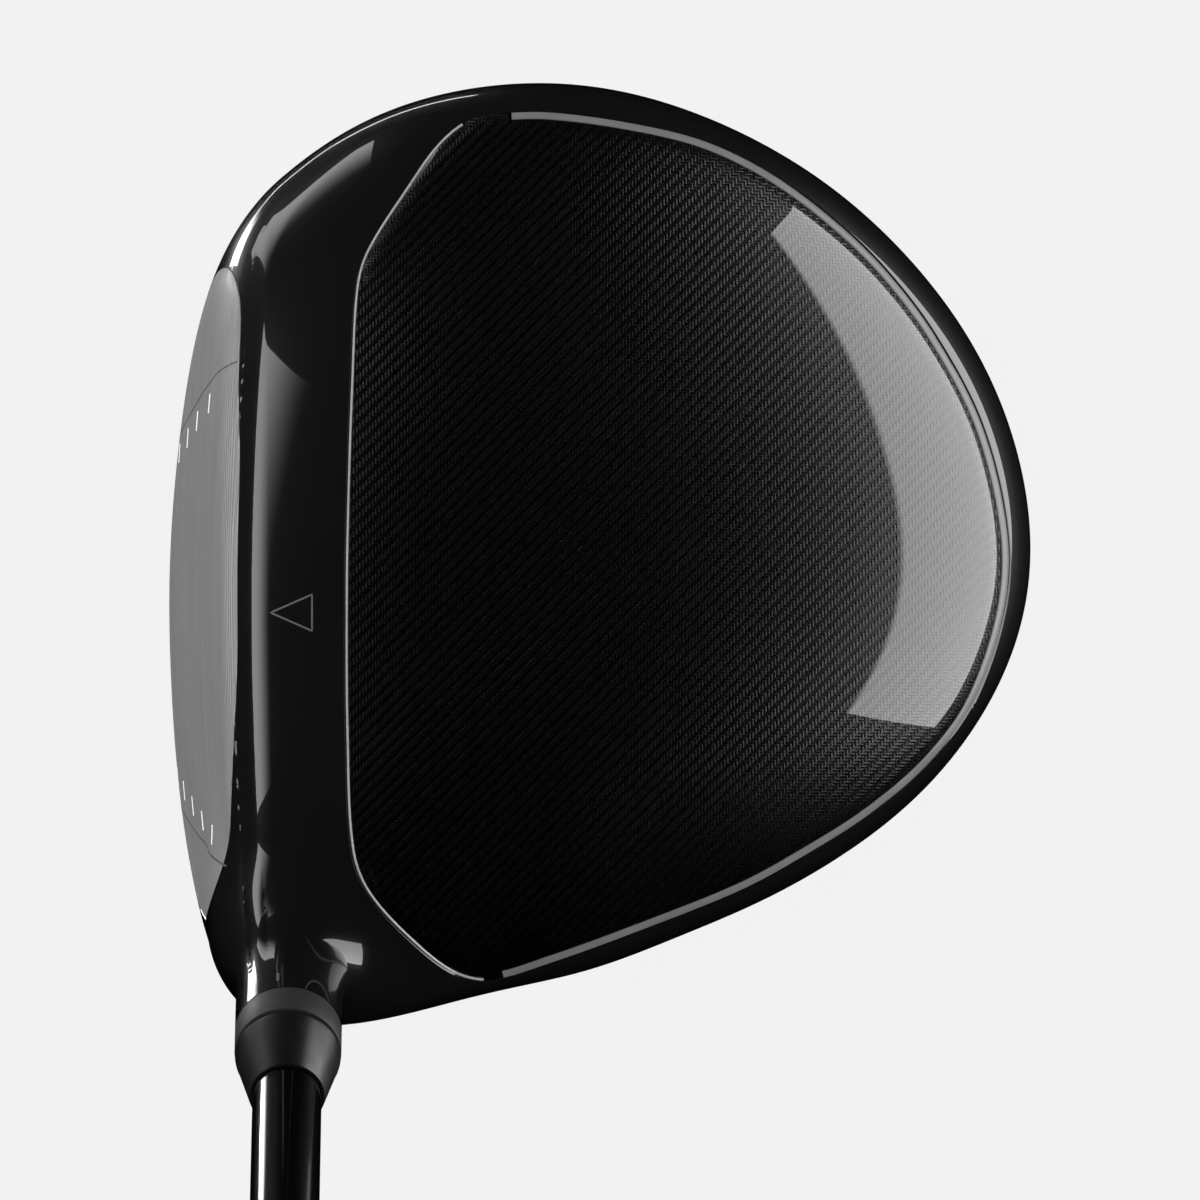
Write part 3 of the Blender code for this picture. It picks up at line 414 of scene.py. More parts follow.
def make_mesh(name, shells):
    """One mesh from several closed shells in millimetres, with every face turned out."""
    points = []
    faces = []
    for shell_points, shell_faces in shells:
        first = len(points)
        points.extend(np.asarray(shell_points).tolist())
        faces.extend([[first + corner for corner in face] for face in shell_faces])
    mesh = bpy.data.meshes.new(name)
    mesh.from_pydata((np.asarray(points) * MM).tolist(), [], faces)
    work = bmesh.new()
    work.from_mesh(mesh)
    bmesh.ops.recalc_face_normals(work, faces=work.faces)
    work.to_mesh(mesh)
    work.free()
    mesh.shade_smooth()
    mesh.set_sharp_from_angle(angle=SHARP_ANGLE)
    return mesh


def place_piece(name, mesh, at, material, body, node=None):
    mesh.materials.clear()
    mesh.materials.append(material)
    item = bpy.data.objects.new(name, mesh)
    bpy.context.scene.collection.objects.link(item)
    item.matrix_world = at
    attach(item, body)
    if node:
        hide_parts(node)


def head_piece(name, shells, material, node=None):
    """A piece of the head, from closed shells in the head's frame."""
    place_piece(name, make_mesh(name, shells), HEAD_AT, material, "head", node)


def carve(mesh, cutters):
    """The mesh less its cutters, which share its coordinates."""
    item = bpy.data.objects.new("carved", mesh)
    bpy.context.scene.collection.objects.link(item)
    made = [item]
    for cutter in cutters:
        other = bpy.data.objects.new("cutter", cutter)
        bpy.context.scene.collection.objects.link(other)
        made.append(other)
        modifier = item.modifiers.new("cut", "BOOLEAN")
        modifier.operation = "DIFFERENCE"
        modifier.solver = "MANIFOLD"
        modifier.object = other
    bpy.context.view_layer.update()
    graph = bpy.context.evaluated_depsgraph_get()
    result = bpy.data.meshes.new_from_object(item.evaluated_get(graph))
    for other in made:
        bpy.data.objects.remove(other, do_unlink=True)
    result.shade_smooth()
    result.set_sharp_from_angle(angle=SHARP_ANGLE)
    return result


def eased(profile, reach=0.15):
    """The closed profile with its corners rounded off, but not where it meets the axis."""
    corners = [np.array(corner, float) for corner in profile]
    made = []
    for i, corner in enumerate(corners):
        if corner[0] == 0.0:
            made.append(corner)
            continue
        ends = []
        for other in (corners[i - 1], corners[(i + 1) % len(corners)]):
            length = max(math.dist(corner, other), 1e-9)
            ends.append(corner + (other - corner) * min(reach / length, 0.4))
        made.extend([ends[0], (ends[0] + 2 * corner + ends[1]) / 4, ends[1]])
    return made


def lathe(profile, steps=TURNS, bend=None):
    """A solid turned about Z from a closed profile of (radius, height) points."""
    angle = math.tau * np.arange(steps) / steps
    loops = []
    poles = []
    for radius, height in profile:
        if radius == 0.0:
            poles.append((0.0, 0.0, height))
            continue
        reach = np.full(steps, radius)
        if bend is not None:
            reach = bend(reach, angle, height)
        rim = np.column_stack([reach * np.cos(angle), reach * np.sin(angle)])
        loops.append(np.column_stack([rim, np.full(steps, height)]))
    if poles:
        return loft(loops, poles[0], poles[1])
    return loft(loops)


def turned_piece(name, profile, material, body, node, steps=TURNS, bend=None, at=HOSEL_AT):
    place_piece(name, make_mesh(name, [lathe(profile, steps, bend)]), at, material, body, node)


def tube(inner, outer, low, high, steps=48):
    """A plain tube, or a plain rod when the inner radius is nought."""
    return lathe([(inner, low), (outer, low), (outer, high), (inner, high)], steps)


def move(shell, matrix):
    """The shell taken through a matrix whose lengths are in metres."""
    points, faces = shell
    turn = np.array(matrix.to_3x3())
    return points @ turn.T + np.array(matrix.translation) / MM, faces


def star_prism(radius, low, high, lobes=6, depth=0.2, steps=72):
    angle = math.tau * np.arange(steps) / steps
    reach = radius * (1.0 - depth * (0.5 - 0.5 * np.cos(lobes * angle)))
    rim = np.column_stack([reach * np.cos(angle), reach * np.sin(angle)])
    loops = [np.column_stack([rim, np.full(steps, height)]) for height in (low, high)]
    return loft(loops, (0.0, 0.0, low), (0.0, 0.0, high))


def sheet(place, outline, centre, parts, height):
    """Loops of an outline shrunk towards its centre, at one height over the head's surface."""
    loops = []
    for part in parts:
        surface = place(centre + (outline - centre) * part)
        loops.append(surface + head_normal(surface) * height)
    return loops


def close_sheet(place, centre, loops, first, last):
    middle = place(np.array([centre], float))
    normal = head_normal(middle)
    return loft(loops, (middle + normal * first)[0], (middle + normal * last)[0])


def skin(place, outline, centre, low, high, ease, rings):
    """A sheet over an outline on the head's surface, between two offsets, its top edge eased."""
    loops = sheet(place, inset(outline, ease), centre, rings, high)
    loops += sheet(place, outline, centre, (1.0,), high - 0.7 * ease)
    loops += sheet(place, outline, centre, (1.0, 0.9, 0.7, 0.4, 0.15), low)
    return close_sheet(place, centre, loops, high, low)


def ribbon(place, path, width, low, high, ease=0.05, closed=False):
    """A thin flat-topped strip along a path on the head's surface."""
    path = np.asarray(path, float)
    along = np.roll(path, -1, axis=0) - np.roll(path, 1, axis=0)
    if not closed:
        along[0] = path[1] - path[0]
        along[-1] = path[-1] - path[-2]
    across = np.column_stack([-along[:, 1], along[:, 0]])
    across *= (np.broadcast_to(width, len(path)) / 2 / np.linalg.norm(across, axis=1))[:, None]
    inner = across * (1.0 - 2.0 * ease / np.max(width))
    lines = []
    for side, height in (
        (-across, low),
        (-across, high - ease),
        (-inner, high),
        (inner, high),
        (across, high - ease),
        (across, low),
    ):
        surface = place(path + side)
        lines.append(surface + head_normal(surface) * height)
    sections = np.stack(lines, axis=1)
    if closed:
        return loft(list(sections))
    return loft(list(sections), sections[0].mean(axis=0), sections[-1].mean(axis=0))


def net_surface(field, low, high, size):
    """Points and four-sided faces where a field changes sign on a grid of cubes."""
    xs, ys, zs = (np.arange(a, b + size, size) for a, b in zip(low, high))
    y, z = np.meshgrid(ys, zs, indexing="ij")
    value = np.stack([field(x, y, z) for x in xs])
    inside = value < 0.0
    shape = tuple(n - 1 for n in value.shape)
    total = np.zeros(shape + (3,))
    hits = np.zeros(shape)
    for axis in range(3):
        others = [k for k in range(3) if k != axis]
        near = [slice(None)] * 3
        far = [slice(None)] * 3
        near[axis] = slice(None, -1)
        far[axis] = slice(1, None)
        a, b = value[tuple(near)], value[tuple(far)]
        crossed = inside[tuple(near)] != inside[tuple(far)]
        part = np.where(crossed, a / np.where(crossed, a - b, 1.0), 0.0)
        for first in (0, 1):
            for second in (0, 1):
                pick = [slice(None)] * 3
                pick[others[0]] = slice(first, shape[others[0]] + first)
                pick[others[1]] = slice(second, shape[others[1]] + second)
                hit = crossed[tuple(pick)]
                hits += hit
                total[..., axis] += np.where(hit, part[tuple(pick)], 0.0)
                total[..., others[0]] += hit * first
                total[..., others[1]] += hit * second
    used = hits > 0
    number = np.full(shape, -1)
    number[used] = np.arange(np.count_nonzero(used))
    corner = np.argwhere(used)
    points = (corner + total[used] / hits[used][:, None]) * size + [xs[0], ys[0], zs[0]]
    faces = []
    for axis in range(3):
        one, two = [k for k in range(3) if k != axis]
        near = [slice(1, -1)] * 3
        far = [slice(1, -1)] * 3
        near[axis] = slice(None, -1)
        far[axis] = slice(1, None)
        places = np.argwhere(inside[tuple(near)] != inside[tuple(far)])
        places[:, one] += 1
        places[:, two] += 1
        corners = []
        for back_one, back_two in ((1, 1), (0, 1), (0, 0), (1, 0)):
            cell = places.copy()
            cell[:, one] -= back_one
            cell[:, two] -= back_two
            corners.append(number[tuple(cell.T)])
        faces.extend(np.column_stack(corners).tolist())
    return points, faces


def read_all(items, key, width, kind=float):
    """One property of every item, as rows of this many numbers."""
    values = np.empty(len(items) * width, dtype=kind)
    items.foreach_get(key, values)
    return values.reshape(-1, width)


def true_normals(mesh):
    """Gives the outside of the head its surface's exact normals, and leaves cut faces alone."""
    points = read_all(mesh.vertices, "co", 3) / MM
    off = np.abs(head_field(*points.T))
    exact = head_normal(points)
    corners = read_all(mesh.corner_normals, "vector", 3)
    owner = read_all(mesh.loops, "vertex_index", 1, np.int32)[:, 0]
    sizes = read_all(mesh.polygons, "loop_total", 1, np.int32)[:, 0]
    facing = np.repeat(read_all(mesh.polygons, "normal", 3), sizes, axis=0)
    outside = (off[owner] < 0.03) & (np.sum(facing * exact[owner], axis=1) > 0.9)
    corners[outside] = exact[owner[outside]]
    mesh.normals_split_custom_set(corners.tolist())


# ---------------- materials
class Surface:
    """A material with a Principled shader, and short ways to add and join its nodes."""

    def __init__(self, name, colour, roughness, metallic=0.0, **more):
        self.material = bpy.data.materials.new(name)
        self.material.use_nodes = True
        self.tree = self.material.node_tree
        self.shader = self.tree.nodes["Principled BSDF"]
        self.set("Base Color", (*colour, 1.0))
        self.set("Roughness", roughness)
        self.set("Metallic", metallic)
        for key, value in more.items():
            self.set(key.replace("_", " "), value)
        self.place = self.tree.nodes.new("ShaderNodeTexCoord").outputs["Object"]

    def set(self, name, value):
        self.join(self.shader.inputs[name], value)

    def join(self, socket, value):
        if isinstance(value, bpy.types.NodeSocket):
            self.tree.links.new(value, socket)
        else:
            socket.default_value = value

    def add(self, kind, inputs, **settings):
        node = self.tree.nodes.new("ShaderNode" + kind)
        for key, value in settings.items():
            setattr(node, key, value)
        for key, value in inputs.items():
            self.join(node.inputs[key], value)
        return node

    def math(self, operation, a, b=0.0, c=0.0):
        return self.add("Math", {0: a, 1: b, 2: c}, operation=operation).outputs[0]

    def noise(self, scale, detail=2.0, stretch=None, place=None):
        place = self.place if place is None else place
        if stretch is not None:
            place = self.add("Mapping", {"Vector": place, "Scale": stretch}).outputs[0]
        inputs = {"Vector": place, "Scale": scale, "Detail": detail}
        return self.add("TexNoise", inputs).outputs["Fac"]

    def spread(self, value, low, high, to_low, to_high):
        inputs = {"Value": value, 1: low, 2: high, 3: to_low, 4: to_high}
        return self.add("MapRange", inputs).outputs["Result"]

    def blend(self, amount, first, second):
        node = self.add("Mix", {0: amount}, data_type="RGBA")
        self.join(node.inputs[6], (*first, 1.0))
        self.join(node.inputs[7], (*second, 1.0))
        return node.outputs[2]

    def bump(self, height, distance, strength=1.0):
        inputs = {"Height": height, "Distance": distance, "Strength": strength}
        self.set("Normal", self.add("Bump", inputs).outputs[0])

    def parts(self):
        split = self.add("SeparateXYZ", {0: self.place})
        return tuple(split.outputs)


def gloss_paint(name, shade=0.0042):
    paint = Surface(name, (shade,) * 3, 0.3, Coat_Weight=1.0, Coat_Roughness=0.02,
                    Specular_IOR_Level=0.08)
    cloud = paint.noise(90.0, 3.0)
    low = tuple(shade * tint for tint in (0.85, 0.8, 0.85))
    high = tuple(shade * tint for tint in (1.15, 1.1, 1.15))
    paint.set("Base Color", paint.blend(cloud, low, high))
    paint.set("Coat Roughness", paint.spread(paint.noise(400.0), 0.3, 0.7, 0.012, 0.03))
    paint.bump(paint.noise(1500.0, 1.0), 0.000002, 0.4)
    return paint.material


def carbon_twill(name, tow=0.00042):
    """Clear-coated 2 by 2 twill: each tow floats over two and under two."""
    weave = Surface(name, (0.002,) * 3, 0.3, Coat_Weight=1.0, Coat_Roughness=0.015,
                    Specular_IOR_Level=0.32)
    x, y, _ = weave.parts()
    u = weave.math("DIVIDE", x, tow)
    v = weave.math("DIVIDE", y, tow)
    column = weave.math("FLOOR", u)
    row = weave.math("FLOOR", v)
    turn = weave.math("FLOORED_MODULO", weave.math("SUBTRACT", column, row), 4.0)
    over = weave.math("LESS_THAN", turn, 1.5)
    along_u = weave.math("SUBTRACT", weave.math("FRACT", u), 0.5)
    along_v = weave.math("SUBTRACT", weave.math("FRACT", v), 0.5)
    gap = weave.math("SUBTRACT", along_u, along_v)
    across = weave.math("MULTIPLY_ADD", gap, over, along_v)
    crown = weave.math("MULTIPLY", weave.math("MULTIPLY", across, across), -4.0)
    height = weave.math("ADD", crown, weave.math("MULTIPLY", over, 0.35))
    weave.bump(height, 0.00007, 0.5)
    # painted sheen: cells where the tow on top runs one way get a lighter base colour than cells where
    # it runs the other way, standing in for the light the fibres catch by their direction
    weave.set("Base Color", weave.blend(over, (0.0002,) * 3, (0.0011, 0.0011, 0.0012)))
    weave.set("Roughness", weave.spread(weave.noise(2600.0), 0.3, 0.7, 0.26, 0.4))
    return weave.material


def milled_face(name):
    """Satin metal with arcs left by a fly cutter, deepest along the top line."""
    metal = Surface(name, (0.33, 0.33, 0.335), 0.42, 0.35)
    _, y, z = metal.parts()
    from_low = metal.math("ADD", z, 0.065)
    squares = [metal.math("MULTIPLY", value, value) for value in (y, from_low)]
    reach = metal.math("SQRT", metal.math("ADD", *squares))
    arcs = metal.math("SINE", metal.math("MULTIPLY", reach, math.tau / 0.00042))
    fall = metal.math("MULTIPLY", metal.math("MULTIPLY", y, y), 4.0)
    edge = metal.math("ADD", z, fall)
    depth = metal.spread(edge, 0.0485, 0.0515, 0.06, 1.0)
    grain = metal.noise(9000.0, 2.0, (1.0, 0.02, 1.0))
    cut = metal.math("MULTIPLY", arcs, depth)
    height = metal.math("ADD", cut, metal.math("MULTIPLY", grain, 0.35))
    metal.bump(height, 0.00005, 0.75)
    streak = metal.noise(700.0, 3.0, (1.0, 0.015, 1.0))
    metal.set("Base Color", metal.blend(streak, (0.17, 0.17, 0.174), (0.27, 0.27, 0.275)))
    metal.set("Roughness", metal.spread(grain, 0.3, 0.7, 0.36, 0.5))
    return metal.material


def satin(name, colour, roughness=0.45, metallic=0.0, scale=1800.0, depth=0.000012):
    """A plain moulded, anodised or painted finish with a fine grain."""
    finish = Surface(name, colour, roughness, metallic)
    cloud = finish.noise(scale / 6, 3.0)
    low = tuple(0.86 * tint for tint in colour)
    high = tuple(min(1.14 * tint, 1.0) for tint in colour)
    finish.set("Base Color", finish.blend(cloud, low, high))
    finish.set("Roughness", finish.spread(cloud, 0.3, 0.7, roughness - 0.06, roughness + 0.06))
    finish.bump(finish.noise(scale, 2.0), depth, 0.6)
    return finish.material


def turned_metal(name, colour, roughness=0.28):
    """Metal with the fine rings that a lathe leaves."""
    metal = Surface(name, colour, roughness, 1.0)
    rings = metal.noise(5200.0, 2.0, (0.03, 0.03, 1.0))
    metal.bump(rings, 0.000012, 0.5)
    metal.set("Roughness", metal.spread(rings, 0.3, 0.7, roughness - 0.07, roughness + 0.08))
    dull = tuple(0.82 * tint for tint in colour)
    metal.set("Base Color", metal.blend(metal.noise(300.0, 3.0), dull, colour))
    return metal.material


def rubber_look(name):
    rubber = Surface(name, (0.012, 0.012, 0.0125), 0.72)
    speckle = rubber.noise(1400.0, 3.0)
    rubber.set("Base Color", rubber.blend(speckle, (0.008,) * 3, (0.019, 0.019, 0.02)))
    rubber.set("Roughness", rubber.spread(speckle, 0.3, 0.7, 0.62, 0.82))
    rubber.bump(speckle, 0.00005, 0.7)
    return rubber.material


BODY_PAINT = gloss_paint("gloss_black_paint")
SHAFT_PAINT = gloss_paint("shaft_paint", 0.0008)
CARBON = carbon_twill("carbon_twill")
FACE_METAL = milled_face("milled_face")
TRIM_GREY = satin("trim_grey", (0.13, 0.13, 0.132), 0.36)
BRIGHT = satin("bright_line", (0.42, 0.42, 0.43), 0.28, 0.3)
MARK_WHITE = satin("mark_white", (0.78, 0.78, 0.76), 0.5)
MARK_GREY = satin("mark_grey", (0.075, 0.075, 0.076), 0.5)
ARC_DARK = satin("arc_dark", (0.06, 0.06, 0.06), 0.5)
RING_GREY = satin("ring_grey", (0.024, 0.024, 0.025), 0.5, 0.2)
FERRULE_BLACK = satin("ferrule_black", (0.004, 0.004, 0.0043), 0.36)
PLASTIC = satin("dark_plastic", (0.02, 0.02, 0.021), 0.5)
STEEL = turned_metal("bolt_steel", (0.5, 0.5, 0.5))
WEIGHT_METAL = turned_metal("weight_metal", (0.34, 0.34, 0.35), 0.34)
ALLOY = turned_metal("sleeve_alloy", (0.3, 0.3, 0.31), 0.32)
PAPER = satin("tape_paper", (0.55, 0.5, 0.38), 0.8)
RUBBER = rubber_look("grip_rubber")


# ---------------- the head
CROWN = closed_spline(CROWN_EDGE, AROUND)
FACE = closed_spline(FACE_EDGE, AROUND // 2)
TRIM_FIRST = nearest(CROWN, TRIM_START)
TRIM_LAST = nearest(CROWN, TRIM_END)
BEAD_FIRST = nearest(CROWN, BEAD_START)
BEAD_LAST = nearest(CROWN, BEAD_END)
SOLE_PANELS = (
    ("sole_panel_toe", closed_spline(TOE_PANEL_EDGE, AROUND // 3), TOE_PANEL_CENTRE),
    ("sole_panel_heel", closed_spline(HEEL_PANEL_EDGE, AROUND // 3), HEEL_PANEL_CENTRE),
)
FINE_RINGS = tuple(np.linspace(0.04, 1.0, 30))

weight_place = on_sole(np.array([WEIGHT_AT]))
weight_normal = head_normal(weight_place)[0]
WEIGHT_IN_HEAD = axis_matrix(weight_place[0], weight_normal)
WEIGHT_AT_WORLD = HEAD_AT @ WEIGHT_IN_HEAD

BORE_RADIUS = 5.75
BOLT_HOLE_RADIUS = 2.8
BOLT_RADIUS = 2.45
BOLT_HEAD_HEIGHT = 4.0
SOCKET_RADIUS = 1.8
THREAD_PITCH = 0.8
THREAD_DEPTH = 0.3
WASHER_THICKNESS = 0.9
RING_HEIGHT = 5.0
FERRULE_HEIGHT = 10.0
GRIP_LENGTH = 270.0
GRIP_CAP_HEIGHT = 4.5
PORT_RADIUS = 5.2
SEAT_FROM = 22.0
BORE_FLOOR = 26.0
WEIGHT_RADIUS = 8.4
WEIGHT_THICKNESS = 6.6
WEIGHT_SINK = 0.5
GAP = 0.3
KEY_ANGLES = (0.0, 90.0, 180.0, 270.0)


def recess(place, outline, centre, depth, flare=0.22):
    """A cutter for a recess in the head's surface, whose mouth has a small bevel."""
    above = 3.0
    loops = sheet(place, outline, centre, (0.15, 0.4, 0.7, 0.9, 1.0), -depth)
    for grow, height in ((0.0, -flare), (flare, 0.02), (flare, above)):
        loops += sheet(place, inset(outline, -grow), centre, (1.0,), height)
    loops += sheet(place, outline, centre, (0.9, 0.7, 0.4, 0.15), above)
    return close_sheet(place, centre, loops, -depth, above)


def key_prism(angle, ease, low, high):
    """A block that keys the adapter ring to the hosel."""
    inner, outer, half = 5.9 - 4 * ease, 6.35 + ease, 1.0 + ease
    corners = np.array([(inner, -half), (outer, -half), (outer, half), (inner, half)])
    turn = math.radians(angle)
    spin = np.array([[math.cos(turn), -math.sin(turn)], [math.sin(turn), math.cos(turn)]])
    rim = corners @ spin.T
    middle = rim.mean(axis=0)
    loops = [np.column_stack([rim, np.full(4, height)]) for height in (low, high)]
    return loft(loops, (*middle, low), (*middle, high))


def build_body():
    points, faces = net_surface(rough_field, NET_LOW, NET_HIGH, NET_SIZE)
    top = along_axis(points[:, 1], points[:, 2]) > HOSEL_TOP + HOSEL_SPARE / 2
    points[~top] = settle(points[~top])
    mesh = make_mesh("body_shell", [(points, faces)])
    in_hosel = [
        tube(0.0, 14.0, HOSEL_TOP, HOSEL_TOP + 14.0),
        lathe([(0.0, BORE_FLOOR), (BORE_RADIUS, BORE_FLOOR), (BORE_RADIUS, HOSEL_TOP - 0.35),
               (BORE_RADIUS + 0.4, HOSEL_TOP + 0.05), (BORE_RADIUS + 0.4, HOSEL_TOP + 6.0),
               (0.0, HOSEL_TOP + 6.0)], 64),
        tube(0.0, BOLT_HOLE_RADIUS, 10.0, 30.0),
        tube(0.0, PORT_RADIUS, -12.0, SEAT_FROM),
    ]
    in_hosel += [key_prism(angle, 0.12, HOSEL_TOP - 1.4, HOSEL_TOP + 1.0) for angle in KEY_ANGLES]
    depth = WEIGHT_SINK + WEIGHT_THICKNESS + GAP
    in_weight = [
        lathe([(0.0, -depth), (WEIGHT_RADIUS + 0.1, -depth), (WEIGHT_RADIUS + 0.1, -0.35),
               (WEIGHT_RADIUS + 0.5, 0.15), (WEIGHT_RADIUS + 1.2, 8.0), (0.0, 8.0)], 96),
        tube(0.0, BOLT_HOLE_RADIUS, -17.5, 0.0),
    ]
    shells = [move(shell, HOSEL_IN_HEAD) for shell in in_hosel]
    shells += [move(shell, WEIGHT_IN_HEAD) for shell in in_weight]
    shells.append(recess(on_crown, CROWN, CROWN_CENTRE, RECESS))
    shells.append(recess(on_face, FACE, FACE_CENTRE, FACE_PLATE + GAP, 0.1))
    for _, outline, centre in SOLE_PANELS:
        shells.append(recess(on_sole, outline, centre, RECESS, 0.1))
    cutters = [make_mesh("cutter", [shell]) for shell in shells]
    mesh = carve(mesh, cutters)
    true_normals(mesh)
    place_piece("body_shell", mesh, HEAD_AT, BODY_PAINT, "head", "head_body")


def build_crown():
    count = len(CROWN)
    width = np.full(count, SEAM)
    places = np.arange(count)
    width[(places >= TRIM_FIRST) & (places <= TRIM_LAST)] = 2 * SEAM + TRIM_WIDTH
    width[(places >= BEAD_FIRST) & (places <= BEAD_LAST)] = 2 * SEAM + BEAD_WIDTH
    panel = inset(CROWN, width)
    shell = skin(on_crown, panel, CROWN_CENTRE, -PANEL, 0.0, EDGE_ROUND * 0.5, FINE_RINGS)
    head_piece("crown_panel_skin", [shell], CARBON, "crown_panel")
    band = inset(CROWN, SEAM + TRIM_WIDTH / 2)[TRIM_FIRST : TRIM_LAST + 1]
    shell = ribbon(on_crown, band, TRIM_WIDTH, -PANEL, 0.03, 0.08)
    head_piece("crown_trim", [shell], TRIM_GREY, "crown_trim_band")
    line = inset(CROWN, SEAM + BEAD_WIDTH / 2)[BEAD_FIRST : BEAD_LAST + 1]
    shell = ribbon(on_crown, line, BEAD_WIDTH, -PANEL, 0.05, 0.05)
    head_piece("crown_line", [shell], BRIGHT, "crown_front_bead")


def build_sole_panels():
    for name, outline, centre in SOLE_PANELS:
        shell = skin(on_sole, inset(outline, SEAM), centre, -PANEL, 0.0, EDGE_ROUND, FINE_RINGS)
        head_piece(name + "_skin", [shell], CARBON, name)


# score lines on the face: height, and the middle of the dash nearer the toe and nearer the heel
SCORE_LINES = (
    (40.5, 28.8, -28.5),
    (33.5, 26.5, -26.7),
    (27.5, 24.3, -24.8),
    (21.5, 22.3, -22.8),
    (16.5, 20.0, -21.0),
    (12.5, 17.6, -19.1),
)
SCORE_LENGTH = 2.6
FACE_ARCS = (
    ((34.3, 48.2), (30.6, 37.0), (26.4, 25.5), (22.4, 14.0), (20.4, 9.8)),
    ((-32.6, 47.6), (-30.8, 38.0), (-28.0, 27.0), (-25.2, 17.5), (-23.6, 12.6)),
)


def build_face():
    shell = skin(on_face, inset(FACE, SEAM), FACE_CENTRE, -FACE_PLATE, 0.0, EDGE_ROUND, FINE_RINGS)
    head_piece("face_front", [shell], FACE_METAL, "face_plate")
    dashes = []
    for height, toe, heel in SCORE_LINES:
        for middle in (toe, heel):
            y = np.linspace(middle - SCORE_LENGTH / 2, middle + SCORE_LENGTH / 2, 9)
            path = np.column_stack([y, np.full(9, height)])
            dashes.append(ribbon(on_face, path, 0.55, -0.2, 0.02, 0.02))
    head_piece("face_score_lines", dashes, MARK_WHITE)
    arcs = []
    for arc in FACE_ARCS:
        path = even_points(np.asarray(arc, float), 40)
        arcs.append(ribbon(on_face, path, 0.3, -0.2, 0.012, 0.02))
    head_piece("face_arcs", arcs, ARC_DARK)


def build_alignment_mark():
    """A plain open triangle on the crown that points at the face."""
    corners = np.array([(-31.5, 1.0), (-26.0, 3.4), (-26.0, -1.4)])
    sides = []
    for i in range(3):
        side = corners[(i + 1) % 3] - corners[i]
        sides.append(corners[i] + side * np.linspace(0, 1, 16, False)[:, None])
    shell = ribbon(on_crown, np.vstack(sides), 0.24, -0.1, 0.015, 0.015, closed=True)
    head_piece("alignment_mark", [shell], MARK_GREY)


def build_hosel_tick():
    """A short light tick on the toe side of the hosel, which the adapter ring is set by."""
    heights = np.linspace(69.6, 71.4, 7)
    sections = []
    for height in heights:
        corners = []
        for reach, angle in ((7.0, -1.5), (7.07, -1.5), (7.07, 1.5), (7.0, 1.5)):
            turn = TICK_ANGLE + math.radians(angle)
            corners.append((reach * math.cos(turn), reach * math.sin(turn), height))
        sections.append(np.array(corners))
    shell = loft(sections, sections[0].mean(axis=0), sections[-1].mean(axis=0))
    place_piece("hosel_tick", make_mesh("hosel_tick", [shell]), HOSEL_AT, MARK_GREY, "head")


# the hosel frame's X axis lies at an angle to the head's, so the tick's angle comes from both
TOWARDS_TOE = HOSEL_IN_HEAD.to_3x3().inverted() @ Vector((-0.2, 0.85, 0.53))
TICK_ANGLE = math.atan2(TOWARDS_TOE.y, TOWARDS_TOE.x)


# ---------------- turned pieces
def screw_bend(low, high):
    """Cuts a thread into a turned piece between two heights."""

    def bend(reach, angle, height):
        if not low < height < high:
            return reach
        phase = np.mod(height / THREAD_PITCH - angle / math.tau, 1.0)
        ease = min((height - low) / THREAD_PITCH, (high - height) / THREAD_PITCH, 1.0)
        return reach - THREAD_DEPTH * ease * np.abs(2.0 * phase - 1.0)

    return bend


def dense(radius, low, high, pace=0.1):
    """Profile points close enough together to carry a thread."""
    pace = pace
    heights = np.arange(low, high, math.copysign(pace, high - low))
    return [(radius, height) for height in heights]


